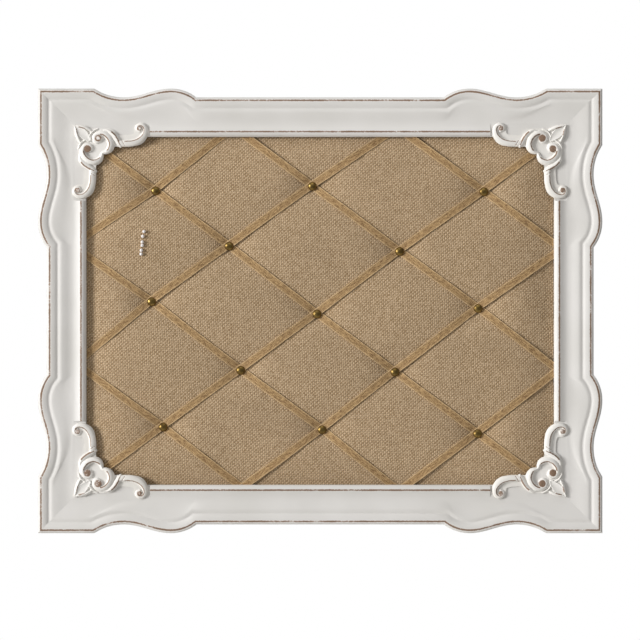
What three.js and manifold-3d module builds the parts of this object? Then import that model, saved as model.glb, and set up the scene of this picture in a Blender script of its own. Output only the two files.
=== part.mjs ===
// A padded memo board: quilted burlap over a pin board, in a carved and painted frame with a wavy edge.
// Millimetres, Z up. X runs to the right and the front faces -Y.
// The origin is the middle of the backing's rear face, and "height" below means distance in front of it.
import * as THREE from "three";
import { mergeVertices } from "three/addons/utils/BufferGeometryUtils.js";
import Module from "manifold-3d";

const wasm = await Module();
wasm.setup();

// Driving dimensions
const GAP = 0.3; // between pieces that touch
const TRIM = 0.01; // slivers thinner than this are tidied away after a cut
const FRAME = { width: 711, height: 560, rim: 60.75 }; // rim: corner to sight edge, square to the rail
const SIGHT = { x: FRAME.width / 2 - FRAME.rim, z: FRAME.height / 2 - FRAME.rim };
// The outline, as distances along a rail from its corner, and how deep the wave runs.
const WAVE = { square: 71, hollow: 108, crest: 167.5, end: 200, depth: 11 };
const RAIL = { rear: 3, lip: 17.5, rabbet: 12.5, mitreGap: 0.15, beadStart: 115 };
// Moulding that follows the outline: [inwards from it, height].
const OUTER_PROFILE = [
  [0, 22.8], [1.3, 25.2], [3.6, 26.2], [6.2, 26.4], [10, 25.7], [13.6, 24.4], [15, 24.5], [17, 25], [19, 25.1],
];
const FIELD = [[0.35, 23.7], [0.78, 22.75]]; // [part of the way across, height]
// Bead along the opening: [outwards from the sight edge, height].
const BEAD_PROFILE = [[14.6, 23.2], [11, 24.2], [7.6, 25.4], [6.4, 25.7], [4.8, 25.6], [1.7, 24.2], [0, 22]];
const SEAT = 23; // height of the flat under a corner ornament, where the bead is left off

const PANEL = { width: 609.6, height: 457.2, rear: 4.3, thickness: 9 };
const COVER = { thickness: 0.9, flap: 30 };
// The padding's heights: at the opening's edge, under the frame, at a nail and between the ribbons.
// A nail draws it in as far as fromNail along its ribbons, and the frame for fromFrame past a flat margin.
const QUILT = {
  border: 16.2, outside: 15, nail: 15.4, full: 23.4, line: 0.5, channel: 0.05,
  fromNail: 57, fromFrame: 50, margin: 22,
};
const RIBBON = { width: 9.5, thickness: 0.8 };
const NAIL = { radius: 5.75, dome: 4, shank: 0.9, length: 12 };
const PIN = { radius: 2.15, shank: 0.45, length: 20, head: 26.2 }; // head: height of the pearl's middle
const BACKING = { width: 640, height: 488, thickness: 3 };
const SCREW = { radius: 3.4, head: 1.8, shank: 1.4, length: 12 };
const HANGER = { x: 333, z: 128, strap: 12, plate: 1, length: 26, wire: 1.25, screwDrop: 20.5 };
const BUMPER = { x: 310, z: -252, radius: 6, height: 5.5 };
const V_NAIL = { leg: 7, thickness: 1, depth: 10, inset: 24 };

// Nails by ribbon: NAILS[i][j] is on falling ribbon i and rising ribbon j, counted from the middle one.
const NAILS = {
  "-2": { 0: [-198, -146.4] },
  "-1": { "-1": [-212.5, 11.6], 0: [-100.2, -75], 1: [2.5, -149.9] },
  0: { "-2": [-207.6, 151.4], "-1": [-114.9, 81.7], 0: [-4, -4], 1: [94.4, -77.2], 2: [198.5, -154.7] },
  1: { "-1": [-9.9, 157.2], 0: [100.2, 75], 1: [199.1, 3.1] },
  2: { 0: [206.4, 150.3] },
};
const STEP = { x: 102, z: 76 }; // from one crossing to the next, where the pattern runs on under the frame
const PINS = [[-221.7, 99.8], [-223.3, 93.8], [-224, 86.7], [-224, 82.4], [-225.1, 76.3], [-225.4, 71.6]];
const BACKING_SCREWS = [[-170, 238], [170, 238], [-170, -238], [170, -238], [-313.5, 0], [313.5, 0]];

// Corner carving from the sight corner: u along the top, v down the side; [u, v, width].
// Only the top arm is listed, since the side arm is the same with u and v exchanged.
const CARVING = { base: 23.2, plate: 24.7 };
const C_SCROLL = [
  [21.1, 20.6, 3.1], [25.9, 19.1, 5.7], [29.7, 15.4, 7.6], [31.4, 8.6, 8.4], [28.6, 1.2, 8.8],
  [22.6, -3.6, 8], [15.8, -4.4, 6.4], [10.6, -1, 5.2], [10.4, 4.6, 4.4], [13.9, 7.2, 3.8], [18, 5.4, 3],
];
const TAIL = [
  [42.2, 8.7, 7.6], [50.3, 8.7, 8.1], [59.3, 7.9, 8.1], [68, 4.3, 7.8], [74, -2.5, 7], [74.8, -10.3, 5.5],
  [70.7, -15, 4.5], [64.9, -14.1, 4], [63.7, -9.2, 3.5], [67.2, -6.5, 3],
];
const LEAF = [
  [22.5, -7.6, 2.4], [27, -7.6, 5], [31.4, -5.6, 7.6], [35.6, -1.6, 8.6], [39.2, 3.8, 8.4], [41.8, 8.8, 6.8],
  [43.5, 11.9, 4.2],
];
const SIDE_PETAL = [[6.2, -7.4, 3.4], [2.6, -9.4, 4.8], [-2.6, -11.4, 5], [-8.6, -12.8, 4], [-13.2, -14, 1.8]];
const MID_PETAL = [[3.1, 3.1, 5.7], [-3.1, -3.1, 8.8], [-8.2, -8.2, 7.6], [-13.8, -13.8, 2]];
const SEPAL = [[4.2, 3.6, 1.6], [4.2, -0.8, 2.6], [6.4, -5.2, 3.2], [10.4, -8.4, 3.2], [14.6, -9.8, 2]];
const EYES = [[15.3, 1.9, 4.6], [67.6, -10.3, 2.9]];
const PLATE_EDGE = [
  [-14.5, -14.5], [-8, -14.7], [-2.2, -13.8], [3.2, -11.8], [9.4, -10.2], [15.7, -10.4], [24.5, -9.8],
  [32.1, -7.3], [37.8, -3.6], [42.8, -1.8], [49.1, -2], [55.4, -2.6], [60.2, -4.6], [60.6, -10.1], [63.5, -15.6],
  [69.9, -17.6], [75.9, -13.9], [78.2, -6.3], [76.4, 1.3], [71.4, 7.9], [62.9, 11.4], [50.3, 12],
  [45.9, 12.2], [41, 12.6], [36.2, 12.6], [34.6, 16], [31.2, 20], [26.4, 21.8], [21.5, 21.5],
];

// Finishes
function finish(color, roughness, metalness = 0) {
  return new THREE.MeshStandardMaterial({ color, roughness, metalness });
}
const paint = finish("#dcd8d2", 0.55);
const carvedPaint = finish("#e0dcd6", 0.55);
const burlap = finish("#a98b64", 0.95);
const batting = finish("#efece4", 0.95);
const fibreboard = finish("#b79a72", 0.9);
const hardboard = finish("#6b4a30", 0.7);
const jute = finish("#ab8557", 0.9);
const brass = finish("#6f5f3d", 0.4, 1);
const pearl = finish("#efe9df", 0.25);
const steel = finish("#b9bcc0", 0.35, 1);
const rubber = finish("#2b2b2b", 0.8);

// A closed geometry as a solid, and a solid as a geometry.
function toSolid(geometry) {
  const bare = new THREE.BufferGeometry();
  bare.setAttribute("position", geometry.getAttribute("position"));
  bare.setIndex(geometry.index);
  const merged = mergeVertices(bare, 1e-3);
  const vertProperties = merged.getAttribute("position").array;
  const corners = [...merged.index.array];
  const whole = corners.filter((_, k) => {
    const [a, b, c] = corners.slice(k - (k % 3), k - (k % 3) + 3);
    return a !== b && b !== c && c !== a;
  });
  const triVerts = new Uint32Array(whole);
  return new wasm.Manifold(new wasm.Mesh({ numProp: 3, vertProperties, triVerts }));
}

function toGeometry(solid) {
  const mesh = solid.asOriginal().simplify(TRIM).getMesh();
  const geometry = new THREE.BufferGeometry();
  geometry.setAttribute("position", new THREE.BufferAttribute(mesh.vertProperties, 3));
  geometry.setIndex(new THREE.BufferAttribute(mesh.triVerts, 1));
  const flat = geometry.toNonIndexed();
  flat.computeVertexNormals();
  return flat;
}

// The middle and the area vector of a ring of points.
function ringFrame(ring) {
  const middle = new THREE.Vector3();
  ring.forEach((p) => middle.addScaledVector(p, 1 / ring.length));
  const area = new THREE.Vector3();
  ring.forEach((p, i) => {
    const next = ring[(i + 1) % ring.length];
    area.add(p.clone().sub(middle).cross(next.clone().sub(middle)));
  });
  return { middle, area };
}

// A solid skinned over a row of closed rings with the same number of points, its two ends closed flat.
function loft(rings) {
  const count = rings[0].length;
  const first = ringFrame(rings[0]);
  const forward = ringFrame(rings[1]).middle.sub(first.middle);
  const loops = first.area.dot(forward) < 0 ? rings.map((r) => [...r].reverse()) : rings;
  const index = [];
  for (let k = 0; k + 1 < loops.length; k++) {
    for (let i = 0; i < count; i++) {
      const a = k * count + i;
      const b = k * count + ((i + 1) % count);
      index.push(a, b, b + count, a, b + count, a + count);
    }
  }
  const close = (k, turned) => {
    const { area } = ringFrame(loops[k]);
    const across = loops[k][1].clone().sub(loops[k][0]).normalize();
    const up = area.normalize().clone().cross(across);
    const contour = loops[k].map((p) => new THREE.Vector2(p.dot(across), p.dot(up)));
    THREE.ShapeUtils.triangulateShape(contour, []).forEach((face) => {
      const corners = turned ? [face[2], face[1], face[0]] : face;
      index.push(...corners.map((c) => c + k * count));
    });
  };
  close(0, true);
  close(loops.length - 1, false);
  const geometry = new THREE.BufferGeometry();
  geometry.setFromPoints(loops.flat());
  geometry.setIndex(index);
  return toSolid(geometry);
}

// A box between two corners given as x, height and z.
function slab(x0, x1, h0, h1, z0, z1) {
  const box = new THREE.BoxGeometry(x1 - x0, h1 - h0, z1 - z0);
  box.translate((x0 + x1) / 2, -(h0 + h1) / 2, (z0 + z1) / 2);
  return toSolid(box);
}

// A round bar square to the board.
function bore(x, z, radius, h0, h1, sides = 6) {
  const bar = new THREE.CylinderGeometry(radius, radius, h1 - h0, sides);
  bar.translate(x, -(h0 + h1) / 2, z);
  return toSolid(bar);
}

const joined = (solids) => wasm.Manifold.union(solids);

// Frame rails
const arcRadius = (span, rise) => (span * span + rise * rise) / (2 * rise);
const sagitta = (radius, span) => radius - Math.sqrt(radius * radius - span * span);

// How far the outline lies inside the line between the corners, t along the rail from a corner.
function outlineLevel(t) {
  const { square, hollow, crest, end, depth } = WAVE;
  if (t <= square) return 0;
  if (t < hollow) return depth - sagitta(arcRadius(hollow - square, depth), hollow - t);
  if (t < crest) return (depth * (1 + Math.cos((Math.PI * (t - hollow)) / (crest - hollow)))) / 2;
  if (t < end) return sagitta(arcRadius(end - crest, depth), t - crest);
  return depth;
}

// The inward step per millimetre of moulding at t, mitred where the outline turns.
function inwardStep(t) {
  const reach = 0.01;
  const here = outlineLevel(t);
  const normals = [
    (here - outlineLevel(t - reach)) / reach,
    (outlineLevel(t + reach) - here) / reach,
  ].map((slope) => new THREE.Vector2(-slope, 1).normalize());
  const both = normals[0].clone().add(normals[1]);
  return both.divideScalar(1 + normals[0].dot(normals[1]));
}

// One cross-section of a rail as [along from the corner, inwards from the corner line, height].
function railSection(t, atMitre) {
  const step = atMitre ? new THREE.Vector2(1, 1) : inwardStep(t);
  const shift = atMitre ? RAIL.mitreGap : 0;
  const level = outlineLevel(t);
  const innerT = t < WAVE.end ? FRAME.rim + (t / WAVE.end) * (WAVE.end - FRAME.rim) : t;
  const fromOutline = ([s, h]) => [t + shift + step.x * s, level + step.y * s, h];
  const fromSight = ([r, h]) => [innerT + shift - (atMitre ? r : 0), FRAME.rim - r, h];
  const bead = t > RAIL.beadStart ? BEAD_PROFILE : BEAD_PROFILE.map(([r, h]) => [r, Math.min(h, SEAT)]);
  const outer = OUTER_PROFILE.map(fromOutline);
  const inner = bead.map(fromSight);
  const from = outer[outer.length - 1];
  const field = FIELD.map(([part, h]) => [
    from[0] + (inner[0][0] - from[0]) * part,
    from[1] + (inner[0][1] - from[1]) * part,
    h,
  ]);
  const back = [[0, RAIL.lip], [RAIL.rabbet, RAIL.lip], [RAIL.rabbet, RAIL.rear]].map(fromSight);
  return [fromOutline([0, RAIL.rear]), ...outer, ...field, ...inner, ...back];
}

// The V of a mitre nail at the top left corner: one leg along the top rail, one down the side.
function vNail(grow) {
  const half = V_NAIL.thickness / 2 + grow;
  const leg = V_NAIL.leg + grow;
  const edge = [[-half, half], [leg, half], [leg, -half], [half, -half], [half, -leg], [-half, -leg]];
  const shape = new THREE.Shape(edge.map(([x, z]) => new THREE.Vector2(x, z)));
  const geometry = new THREE.ExtrudeGeometry(shape, { depth: V_NAIL.depth + 2 * grow, bevelEnabled: false });
  return geometry.rotateX(Math.PI / 2).translate(0, grow - RAIL.rear, 0);
}

// A rail as it lies at the top of the frame, with its mitre slots and the given screw holes.
function rail(halfLength, halfAcross, holes) {
  const stops = [0, WAVE.square, 82, 96, RAIL.beadStart, RAIL.beadStart + 2.2, 132, 150];
  stops.push(WAVE.crest, 179, 190, WAVE.end);
  const left = stops.map((t) => railSection(t, t === 0));
  const placed = ([t, s, h]) => new THREE.Vector3(t - halfLength, -h, halfAcross - s);
  const leftRings = left.map((ring) => ring.map(placed));
  const mirrored = (p) => new THREE.Vector3(-p.x, p.y, p.z);
  const rightRings = leftRings.map((ring) => ring.map(mirrored)).reverse();
  const across = halfAcross - V_NAIL.inset;
  const leftSlot = toSolid(vNail(GAP).translate(V_NAIL.inset - halfLength, 0, across));
  const rightSlot = toSolid(vNail(GAP).rotateY(Math.PI / 2).translate(halfLength - V_NAIL.inset, 0, across));
  const bores = holes.map(([x, z]) => bore(x, z, SCREW.shank + GAP, RAIL.rear - 1, RAIL.rear + SCREW.length));
  return loft([...leftRings, ...rightRings]).subtract(joined([leftSlot, rightSlot, ...bores]));
}

// Corner carving
const swapped = (points) => points.map(([u, v, w]) => [v, u, w]);

// A carved scroll with a soft ridge along a curve through [u, v, width].
function scroll(points, rise, stations) {
  const curve = new THREE.CatmullRomCurve3(points.map((p) => new THREE.Vector3(...p)));
  const widest = Math.max(...points.map((p) => p[2]));
  const rings = [];
  for (let k = 0; k <= stations; k++) {
    const at = curve.getPointAt(k / stations);
    const along = curve.getTangentAt(k / stations);
    const side = new THREE.Vector2(-along.y, along.x).normalize();
    const top = rise * Math.sqrt(at.z / widest);
    const section = [[-0.5, 0], [0.5, 0], [0.36, 0.75], [-0.2, 1]];
    rings.push(
      section.map(([s, h]) => {
        const u = at.x + side.x * s * at.z;
        const v = at.y + side.y * s * at.z;
        return new THREE.Vector3(u, -CARVING.base - h * top, -v);
      }),
    );
  }
  return loft(rings);
}

function cornerCarving() {
  const arm = [
    [C_SCROLL, 5.8, 13],
    [TAIL, 4.8, 11],
    [LEAF, 4.6, 5],
    [SIDE_PETAL, 4, 4],
    [SEPAL, 3.6, 4],
  ];
  const scrolls = arm.flatMap(([points, rise, stations]) => [
    scroll(points, rise, stations),
    scroll(swapped(points), rise, stations),
  ]);
  const mid = scroll(MID_PETAL, 3.4, 4);
  const eyes = EYES.flatMap(([u, v, radius]) => [
    bore(u, -v, radius, CARVING.base, CARVING.base + 4.4),
    bore(v, -u, radius, CARVING.base, CARVING.base + 4.4),
  ]);
  const edge = [...PLATE_EDGE, ...swapped(PLATE_EDGE).slice(1, -1).reverse()];
  const shape = new THREE.Shape(edge.map(([u, v]) => new THREE.Vector2(u, -v)));
  const plate = new THREE.ExtrudeGeometry(shape, { depth: CARVING.plate - CARVING.base, bevelEnabled: false });
  plate.rotateX(Math.PI / 2).translate(0, -CARVING.base, 0);
  return joined([toSolid(plate), mid, ...scrolls, ...eyes]);
}

// Quilting
const known = new Map();

// Where falling ribbon i meets rising ribbon j; beyond the nails the pattern runs on in even steps.
function crossing(i, j) {
  const nail = NAILS[i]?.[j];
  if (nail) return new THREE.Vector2(...nail);
  const key = `${i} ${j}`;
  if (!known.has(key)) {
    const found = [];
    const [di, dj] = [Math.sign(i), Math.sign(j)];
    if (di) found.push(crossing(i - di, j).add(new THREE.Vector2(STEP.x * di, STEP.z * di)));
    if (dj) found.push(crossing(i, j - dj).add(new THREE.Vector2(STEP.x * dj, -STEP.z * dj)));
    const sum = found.reduce((total, p) => total.add(p), new THREE.Vector2());
    known.set(key, sum.divideScalar(found.length));
  }
  return known.get(key).clone();
}

// A place on the board from its ribbon numbers, whole or part.
function quiltPoint(a, b) {
  const [i, j] = [Math.floor(a), Math.floor(b)];
  const [p, q] = [a - i, b - j];
  const near = crossing(i, j).lerp(crossing(i + 1, j), p);
  const far = crossing(i, j + 1).lerp(crossing(i + 1, j + 1), p);
  return near.lerp(far, q);
}

// A channel is level from side to side, so a place in one counts as on its ribbon's middle line.
const settled = (a) => (Math.abs(a - Math.round(a)) < QUILT.channel + 1e-6 ? Math.round(a) : a);

// 1 where the padding is held down, easing to 0 at the reach.
const pull = (away, reach) => Math.max(0, 1 - Math.max(0, away) / reach) ** 2;

function quiltHeight(a, b) {
  const [u, v] = [settled(a), settled(b)];
  const place = quiltPoint(u, v);
  const inside = [SIGHT.x - Math.abs(place.x), SIGHT.z - Math.abs(place.y)];
  if (Math.min(...inside) <= 0) return QUILT.outside;
  const [i, j] = [Math.round(a), Math.round(b)];
  const along = (Math.abs(u - i) + Math.abs(v - j)) * Math.hypot(STEP.x, STEP.z);
  const byNail = NAILS[i]?.[j] ? pull(along, QUILT.fromNail) : 0;
  const level = QUILT.full - (u === i || v === j ? QUILT.line : 0);
  const [freeX, freeZ] = inside.map((way) => 1 - pull(way - QUILT.margin, QUILT.fromFrame));
  const drawn = level - (level - QUILT.nail) * byNail;
  return QUILT.border + (drawn - QUILT.border) * freeX * freeZ;
}

const REACH = 4; // ribbons counted out from the middle one
const LINES = [];
for (let i = -REACH; i < REACH; i++) {
  LINES.push(...[0, QUILT.channel, 0.27, 0.73, 1 - QUILT.channel].map((part) => i + part));
}
LINES.push(REACH);

// The block between a flat floor and the quilted surface, lowered by drop.
function quiltBlock(drop, floor) {
  const count = LINES.length;
  const points = [];
  for (const a of LINES) {
    for (const b of LINES) {
      const { x, y } = quiltPoint(a, b);
      points.push(new THREE.Vector3(x, drop - quiltHeight(a, b), y), new THREE.Vector3(x, -floor, y));
    }
  }
  const index = [];
  const top = (m, n) => 2 * (m * count + n);
  const quad = (a, b, c, d) => index.push(a, b, c, a, c, d);
  for (let m = 0; m + 1 < count; m++) {
    for (let n = 0; n + 1 < count; n++) {
      const corners = [top(m, n), top(m, n + 1), top(m + 1, n + 1), top(m + 1, n)];
      quad(...corners);
      quad(...corners.reverse().map((c) => c + 1));
    }
    const last = count - 1;
    quad(top(m, 0), top(m + 1, 0), top(m + 1, 0) + 1, top(m, 0) + 1);
    quad(top(m + 1, last), top(m, last), top(m, last) + 1, top(m + 1, last) + 1);
    quad(top(0, m + 1), top(0, m), top(0, m) + 1, top(0, m + 1) + 1);
    quad(top(last, m), top(last, m + 1), top(last, m + 1) + 1, top(last, m) + 1);
  }
  const geometry = new THREE.BufferGeometry().setFromPoints(points);
  geometry.setIndex(index);
  return toSolid(geometry);
}

// The space under the frame's lip, outside the opening and above a height.
function underLip(height, inset) {
  const all = slab(-400, 400, height, 60, -320, 320);
  const [x, z] = [SIGHT.x - inset, SIGHT.z - inset];
  return all.subtract(slab(-x, x, height - 1, 61, -z, z));
}

function padding(drop, floor, halfX, halfZ) {
  const block = quiltBlock(drop, floor).intersect(slab(-halfX, halfX, 0, 60, -halfZ, halfZ));
  return block.subtract(underLip(QUILT.border - drop, 2.5 + drop));
}

// One ribbon: a falling one keeps a, a rising one keeps b, and a rising one climbs over each falling one.
function ribbon(number, rising) {
  const place = (along) => (rising ? [along, number] : [number, along]);
  const cross = rising ? [0, 0.02] : [0.02, 0];
  const ahead = rising ? [0.02, 0] : [0, 0.02];
  const difference = ([a, b], [da, db]) => {
    const before = quiltPoint(a - da, b - db);
    return quiltPoint(a + da, b + db).sub(before).normalize();
  };
  const rings = [];
  for (const along of LINES) {
    const at = place(along);
    const middle = quiltPoint(...at);
    const reached = Math.abs(middle.x) < SIGHT.x + 45 && Math.abs(middle.y) < SIGHT.z + 45;
    if (!reached || Math.abs(along) === REACH) continue;
    const side = difference(at, cross);
    side.multiplyScalar(RIBBON.width / 2 / Math.abs(side.cross(difference(at, ahead))));
    const climbs = rising && Number.isInteger(settled(along));
    const low = quiltHeight(...at) + GAP + (climbs ? RIBBON.thickness + GAP : 0);
    const high = low + RIBBON.thickness;
    const corner = (s, h) => new THREE.Vector3(middle.x + side.x * s, -h, middle.y + side.y * s);
    rings.push([corner(-1, low), corner(1, low), corner(1, high), corner(-1, high)]);
  }
  const [endX, endZ] = [PANEL.width / 2 - 2, PANEL.height / 2 - 2];
  const tucked = slab(-endX, endX, 0, 60, -endZ, endZ);
  return loft(rings).intersect(tucked).subtract(underLip(RAIL.lip - 0.2, 0.5));
}

const nailPlaces = Object.values(NAILS).flatMap((row) => Object.values(row));
const NAIL_SEAT = QUILT.nail + 2 * RIBBON.thickness + 3 * GAP;
const nailHoles = joined(
  nailPlaces.map(([x, z]) => bore(x, z, NAIL.shank + GAP, NAIL_SEAT - NAIL.length - GAP, 40)),
);
const pinHoles = joined(PINS.map(([x, z]) => bore(x, z, PIN.shank + GAP, PIN.head - PIN.length - GAP, 40)));
const holes = joined([nailHoles, pinHoles]);

// Turned pieces, from [radius, distance along the axis].
const turned = (profile, sides) => {
  const points = profile.map(([r, y]) => new THREE.Vector2(r, y));
  return toSolid(new THREE.LatheGeometry(points, sides));
};

// The shapes of the fixings
const nailSolid = turned(
  [
    [0, -NAIL.length],
    [NAIL.shank, 1.6 - NAIL.length],
    [NAIL.shank, 0],
    [NAIL.radius - 0.2, 0],
    [NAIL.radius, 0.7],
    [NAIL.radius * 0.72, 0.72 * NAIL.dome],
    [0, NAIL.dome],
  ],
  10,
);
const pinSolid = turned(
  [
    [0, -PIN.length],
    [PIN.shank, 2 - PIN.length],
    [PIN.shank, -PIN.radius * 0.95],
    [PIN.radius * 0.8, -PIN.radius * 0.6],
    [PIN.radius, 0],
    [PIN.radius * 0.8, PIN.radius * 0.6],
    [0, PIN.radius],
  ],
  8,
);
const screwSolid = turned(
  [
    [0, -SCREW.length],
    [SCREW.shank, 2.4 - SCREW.length],
    [SCREW.shank, 0],
    [SCREW.radius, 0],
    [SCREW.radius * 0.94, 0.6 * SCREW.head],
    [SCREW.radius * 0.55, SCREW.head],
    [0, SCREW.head],
  ],
  8,
);
const bumperSolid = turned(
  [
    [0, 0],
    [BUMPER.radius, 0],
    [BUMPER.radius * 0.8, BUMPER.height],
    [0, BUMPER.height],
  ],
  12,
);

// A hanger's strap, its top end rolled round the ring's bar; the bar's axis is at the origin.
const ROLL = HANGER.wire + GAP;
function strap() {
  const outside = ROLL + HANGER.plate;
  const shape = new THREE.Shape();
  shape.moveTo(-outside, -HANGER.length);
  shape.lineTo(-outside, 0);
  shape.absarc(0, 0, outside, Math.PI, -0.6 * Math.PI, true);
  shape.absarc(0, 0, ROLL, -0.6 * Math.PI, -Math.PI, false);
  shape.lineTo(-ROLL, -HANGER.length);
  const options = { depth: HANGER.strap, bevelEnabled: false, curveSegments: 6 };
  const geometry = new THREE.ExtrudeGeometry(shape, options).translate(0, 0, -HANGER.strap / 2);
  const [x, y, z] = [0, 1, 2].map((k) => new THREE.Vector3().setComponent(k, 1));
  geometry.applyMatrix4(new THREE.Matrix4().makeBasis(y, z, x));
  return toSolid(geometry).subtract(bore(0, -HANGER.screwDrop, SCREW.shank + GAP, -6, 6, 8));
}

// The D-ring, hanging from its bar.
function dRing() {
  const half = [[3.5, 0], [6.8, -0.2], [8.3, -2.2], [7.6, -7.5], [4.6, -12]];
  const points = [[0, 0], ...half, [0, -13.7], ...[...half].reverse().map(([x, z]) => [-x, z])];
  const curve = new THREE.CatmullRomCurve3(points.map(([x, z]) => new THREE.Vector3(x, 0, z)), true);
  return toSolid(new THREE.TubeGeometry(curve, 28, HANGER.wire, 6, true));
}

// The whole board
const board = new THREE.Group();

function add(parent, name, solid, material, x = 0, y = 0, z = 0) {
  const mesh = new THREE.Mesh(toGeometry(solid), material.clone());
  mesh.name = name;
  mesh.position.set(x, y, z);
  parent.add(mesh);
  return mesh;
}

const [halfWidth, halfHeight] = [FRAME.width / 2, FRAME.height / 2];
const crossRail = rail(halfWidth, halfHeight, BACKING_SCREWS.slice(0, 2));
const hangerScrewZ = HANGER.z - HANGER.screwDrop;
function stile(side) {
  const holes = [[0, BACKING_SCREWS[5][0]], [side * hangerScrewZ, HANGER.x]];
  return rail(halfHeight, halfWidth, holes);
}
add(board, "top_rail", crossRail, paint);
add(board, "bottom_rail", crossRail, paint).rotation.y = Math.PI;
add(board, "left_stile", stile(1), paint).rotation.y = -Math.PI / 2;
add(board, "right_stile", stile(-1), paint).rotation.y = Math.PI / 2;

const carving = cornerCarving();
const mitreNail = toSolid(vNail(0));
const corners = [
  ["top_left", -1, 1, 0],
  ["top_right", 1, 1, Math.PI / 2],
  ["bottom_right", 1, -1, Math.PI],
  ["bottom_left", -1, -1, -Math.PI / 2],
];
for (const [name, sx, sz, turn] of corners) {
  const ornament = add(board, `${name}_ornament`, carving, carvedPaint, sx * SIGHT.x, 0, sz * SIGHT.z);
  ornament.rotation.y = turn;
  const [x, z] = [sx * (halfWidth - V_NAIL.inset), sz * (halfHeight - V_NAIL.inset)];
  add(board, `${name}_v_nail`, mitreNail, steel, x, 0, z).rotation.y = turn;
}

const [panelX, panelZ] = [PANEL.width / 2, PANEL.height / 2];
const panelFront = PANEL.rear + PANEL.thickness;
const pinBoard = slab(-panelX, panelX, PANEL.rear, panelFront, -panelZ, panelZ).subtract(holes);
add(board, "pin_board", pinBoard, fibreboard);

const inner = COVER.thickness;
const padTop = COVER.thickness + GAP;
add(board, "batting_pad", padding(padTop, panelFront + 0.2, panelX - 1, panelZ - 1).subtract(holes), batting);

const flapRear = PANEL.rear - GAP - COVER.thickness;
const outerCloth = padding(0, flapRear, panelX + GAP + inner, panelZ + GAP + inner);
const innerCloth = padding(inner, flapRear + inner, panelX + GAP, panelZ + GAP);
const [windowX, windowZ] = [panelX - COVER.flap, panelZ - COVER.flap];
const windowCut = slab(-windowX, windowX, flapRear - 1, flapRear + inner + 0.1, -windowZ, windowZ);
add(board, "burlap_cover", outerCloth.subtract(innerCloth).subtract(windowCut).subtract(holes), burlap);

for (let number = -2; number <= 2; number++) {
  add(board, `falling_ribbon_${number + 3}`, ribbon(number, false).subtract(nailHoles), jute);
  add(board, `rising_ribbon_${number + 3}`, ribbon(number, true).subtract(nailHoles), jute);
}
nailPlaces.forEach(([x, z], k) => {
  add(board, `nail_${k + 1}`, nailSolid, brass, x, -NAIL_SEAT, z).rotation.x = Math.PI;
});
PINS.forEach(([x, z], k) => {
  add(board, `pearl_pin_${k + 1}`, pinSolid, pearl, x, -PIN.head, z).rotation.x = Math.PI;
});

const backingHoles = BACKING_SCREWS.map(([x, z]) => bore(x, z, SCREW.shank + GAP, -1, 4));
const [backX, backZ] = [BACKING.width / 2, BACKING.height / 2];
const backing = slab(-backX, backX, 0, BACKING.thickness, -backZ, backZ).subtract(joined(backingHoles));
add(board, "backing_board", backing, hardboard);
BACKING_SCREWS.forEach(([x, z], k) => add(board, `backing_screw_${k + 1}`, screwSolid, steel, x, 0, z));

const strapSolid = strap();
const ringSolid = dRing();
const barY = ROLL + HANGER.plate - RAIL.rear;
for (const [name, side] of [["left", -1], ["right", 1]]) {
  const x = side * HANGER.x;
  add(board, `${name}_hanger_strap`, strapSolid, steel, x, barY, HANGER.z);
  add(board, `${name}_d_ring`, ringSolid, steel, x, barY, HANGER.z);
  add(board, `${name}_hanger_screw`, screwSolid, steel, x, HANGER.plate - RAIL.rear, hangerScrewZ);
  add(board, `${name}_bumper`, bumperSolid, rubber, side * BUMPER.x, -RAIL.rear, BUMPER.z);
}

export default board;
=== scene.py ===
"""A padded memo board: burlap quilted with jute tape, in a carved frame of worn white paint.

Sizes are millimetres in the board's own frame until a mesh is made: x runs to the right, z up, and a
height is the distance in front of the backing's rear face, so in metres a height becomes -y.
"""

import logging
import math
from collections.abc import Iterator, Sequence
from contextlib import contextmanager
from dataclasses import dataclass
from enum import Enum
from functools import cache
from itertools import pairwise

import bpy
import numpy as np
from mathutils import Matrix, Vector
from mathutils.bvhtree import BVHTree


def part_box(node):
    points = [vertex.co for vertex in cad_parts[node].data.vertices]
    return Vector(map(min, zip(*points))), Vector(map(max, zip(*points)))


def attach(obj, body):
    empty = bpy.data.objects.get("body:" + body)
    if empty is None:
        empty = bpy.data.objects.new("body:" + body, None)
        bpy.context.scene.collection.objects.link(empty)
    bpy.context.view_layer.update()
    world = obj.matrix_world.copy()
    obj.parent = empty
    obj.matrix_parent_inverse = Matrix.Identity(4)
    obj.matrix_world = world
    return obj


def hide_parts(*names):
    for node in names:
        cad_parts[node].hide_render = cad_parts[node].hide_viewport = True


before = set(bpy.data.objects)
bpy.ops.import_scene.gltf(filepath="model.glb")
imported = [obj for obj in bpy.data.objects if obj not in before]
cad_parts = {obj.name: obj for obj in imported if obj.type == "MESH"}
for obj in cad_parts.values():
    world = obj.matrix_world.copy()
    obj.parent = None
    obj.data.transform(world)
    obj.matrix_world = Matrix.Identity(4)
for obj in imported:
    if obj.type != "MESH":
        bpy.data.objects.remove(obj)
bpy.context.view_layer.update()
LOG = logging.getLogger("memo_board")

MM = 0.001
BOARD = "board"  # the body that everything fixed rides on

# Driving sizes, as the frame has them.
FRAME_WIDTH, FRAME_HEIGHT, RIM = 711.0, 560.0, 60.75
SIGHT_X, SIGHT_Z = FRAME_WIDTH / 2 - RIM, FRAME_HEIGHT / 2 - RIM
PANEL_X, PANEL_Z = 304.8, 228.6  # half sizes of the pin board
TAPE_WIDTH, TAPE_THICKNESS = 9.5, 0.8

CURVE_STEPS = 40  # from one given point of a smooth curve to the next
WELD = 1e-6  # vertices closer than this many metres become one

Point = tuple[float, float]
Stroke = Sequence[tuple[float, float, float]]


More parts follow.
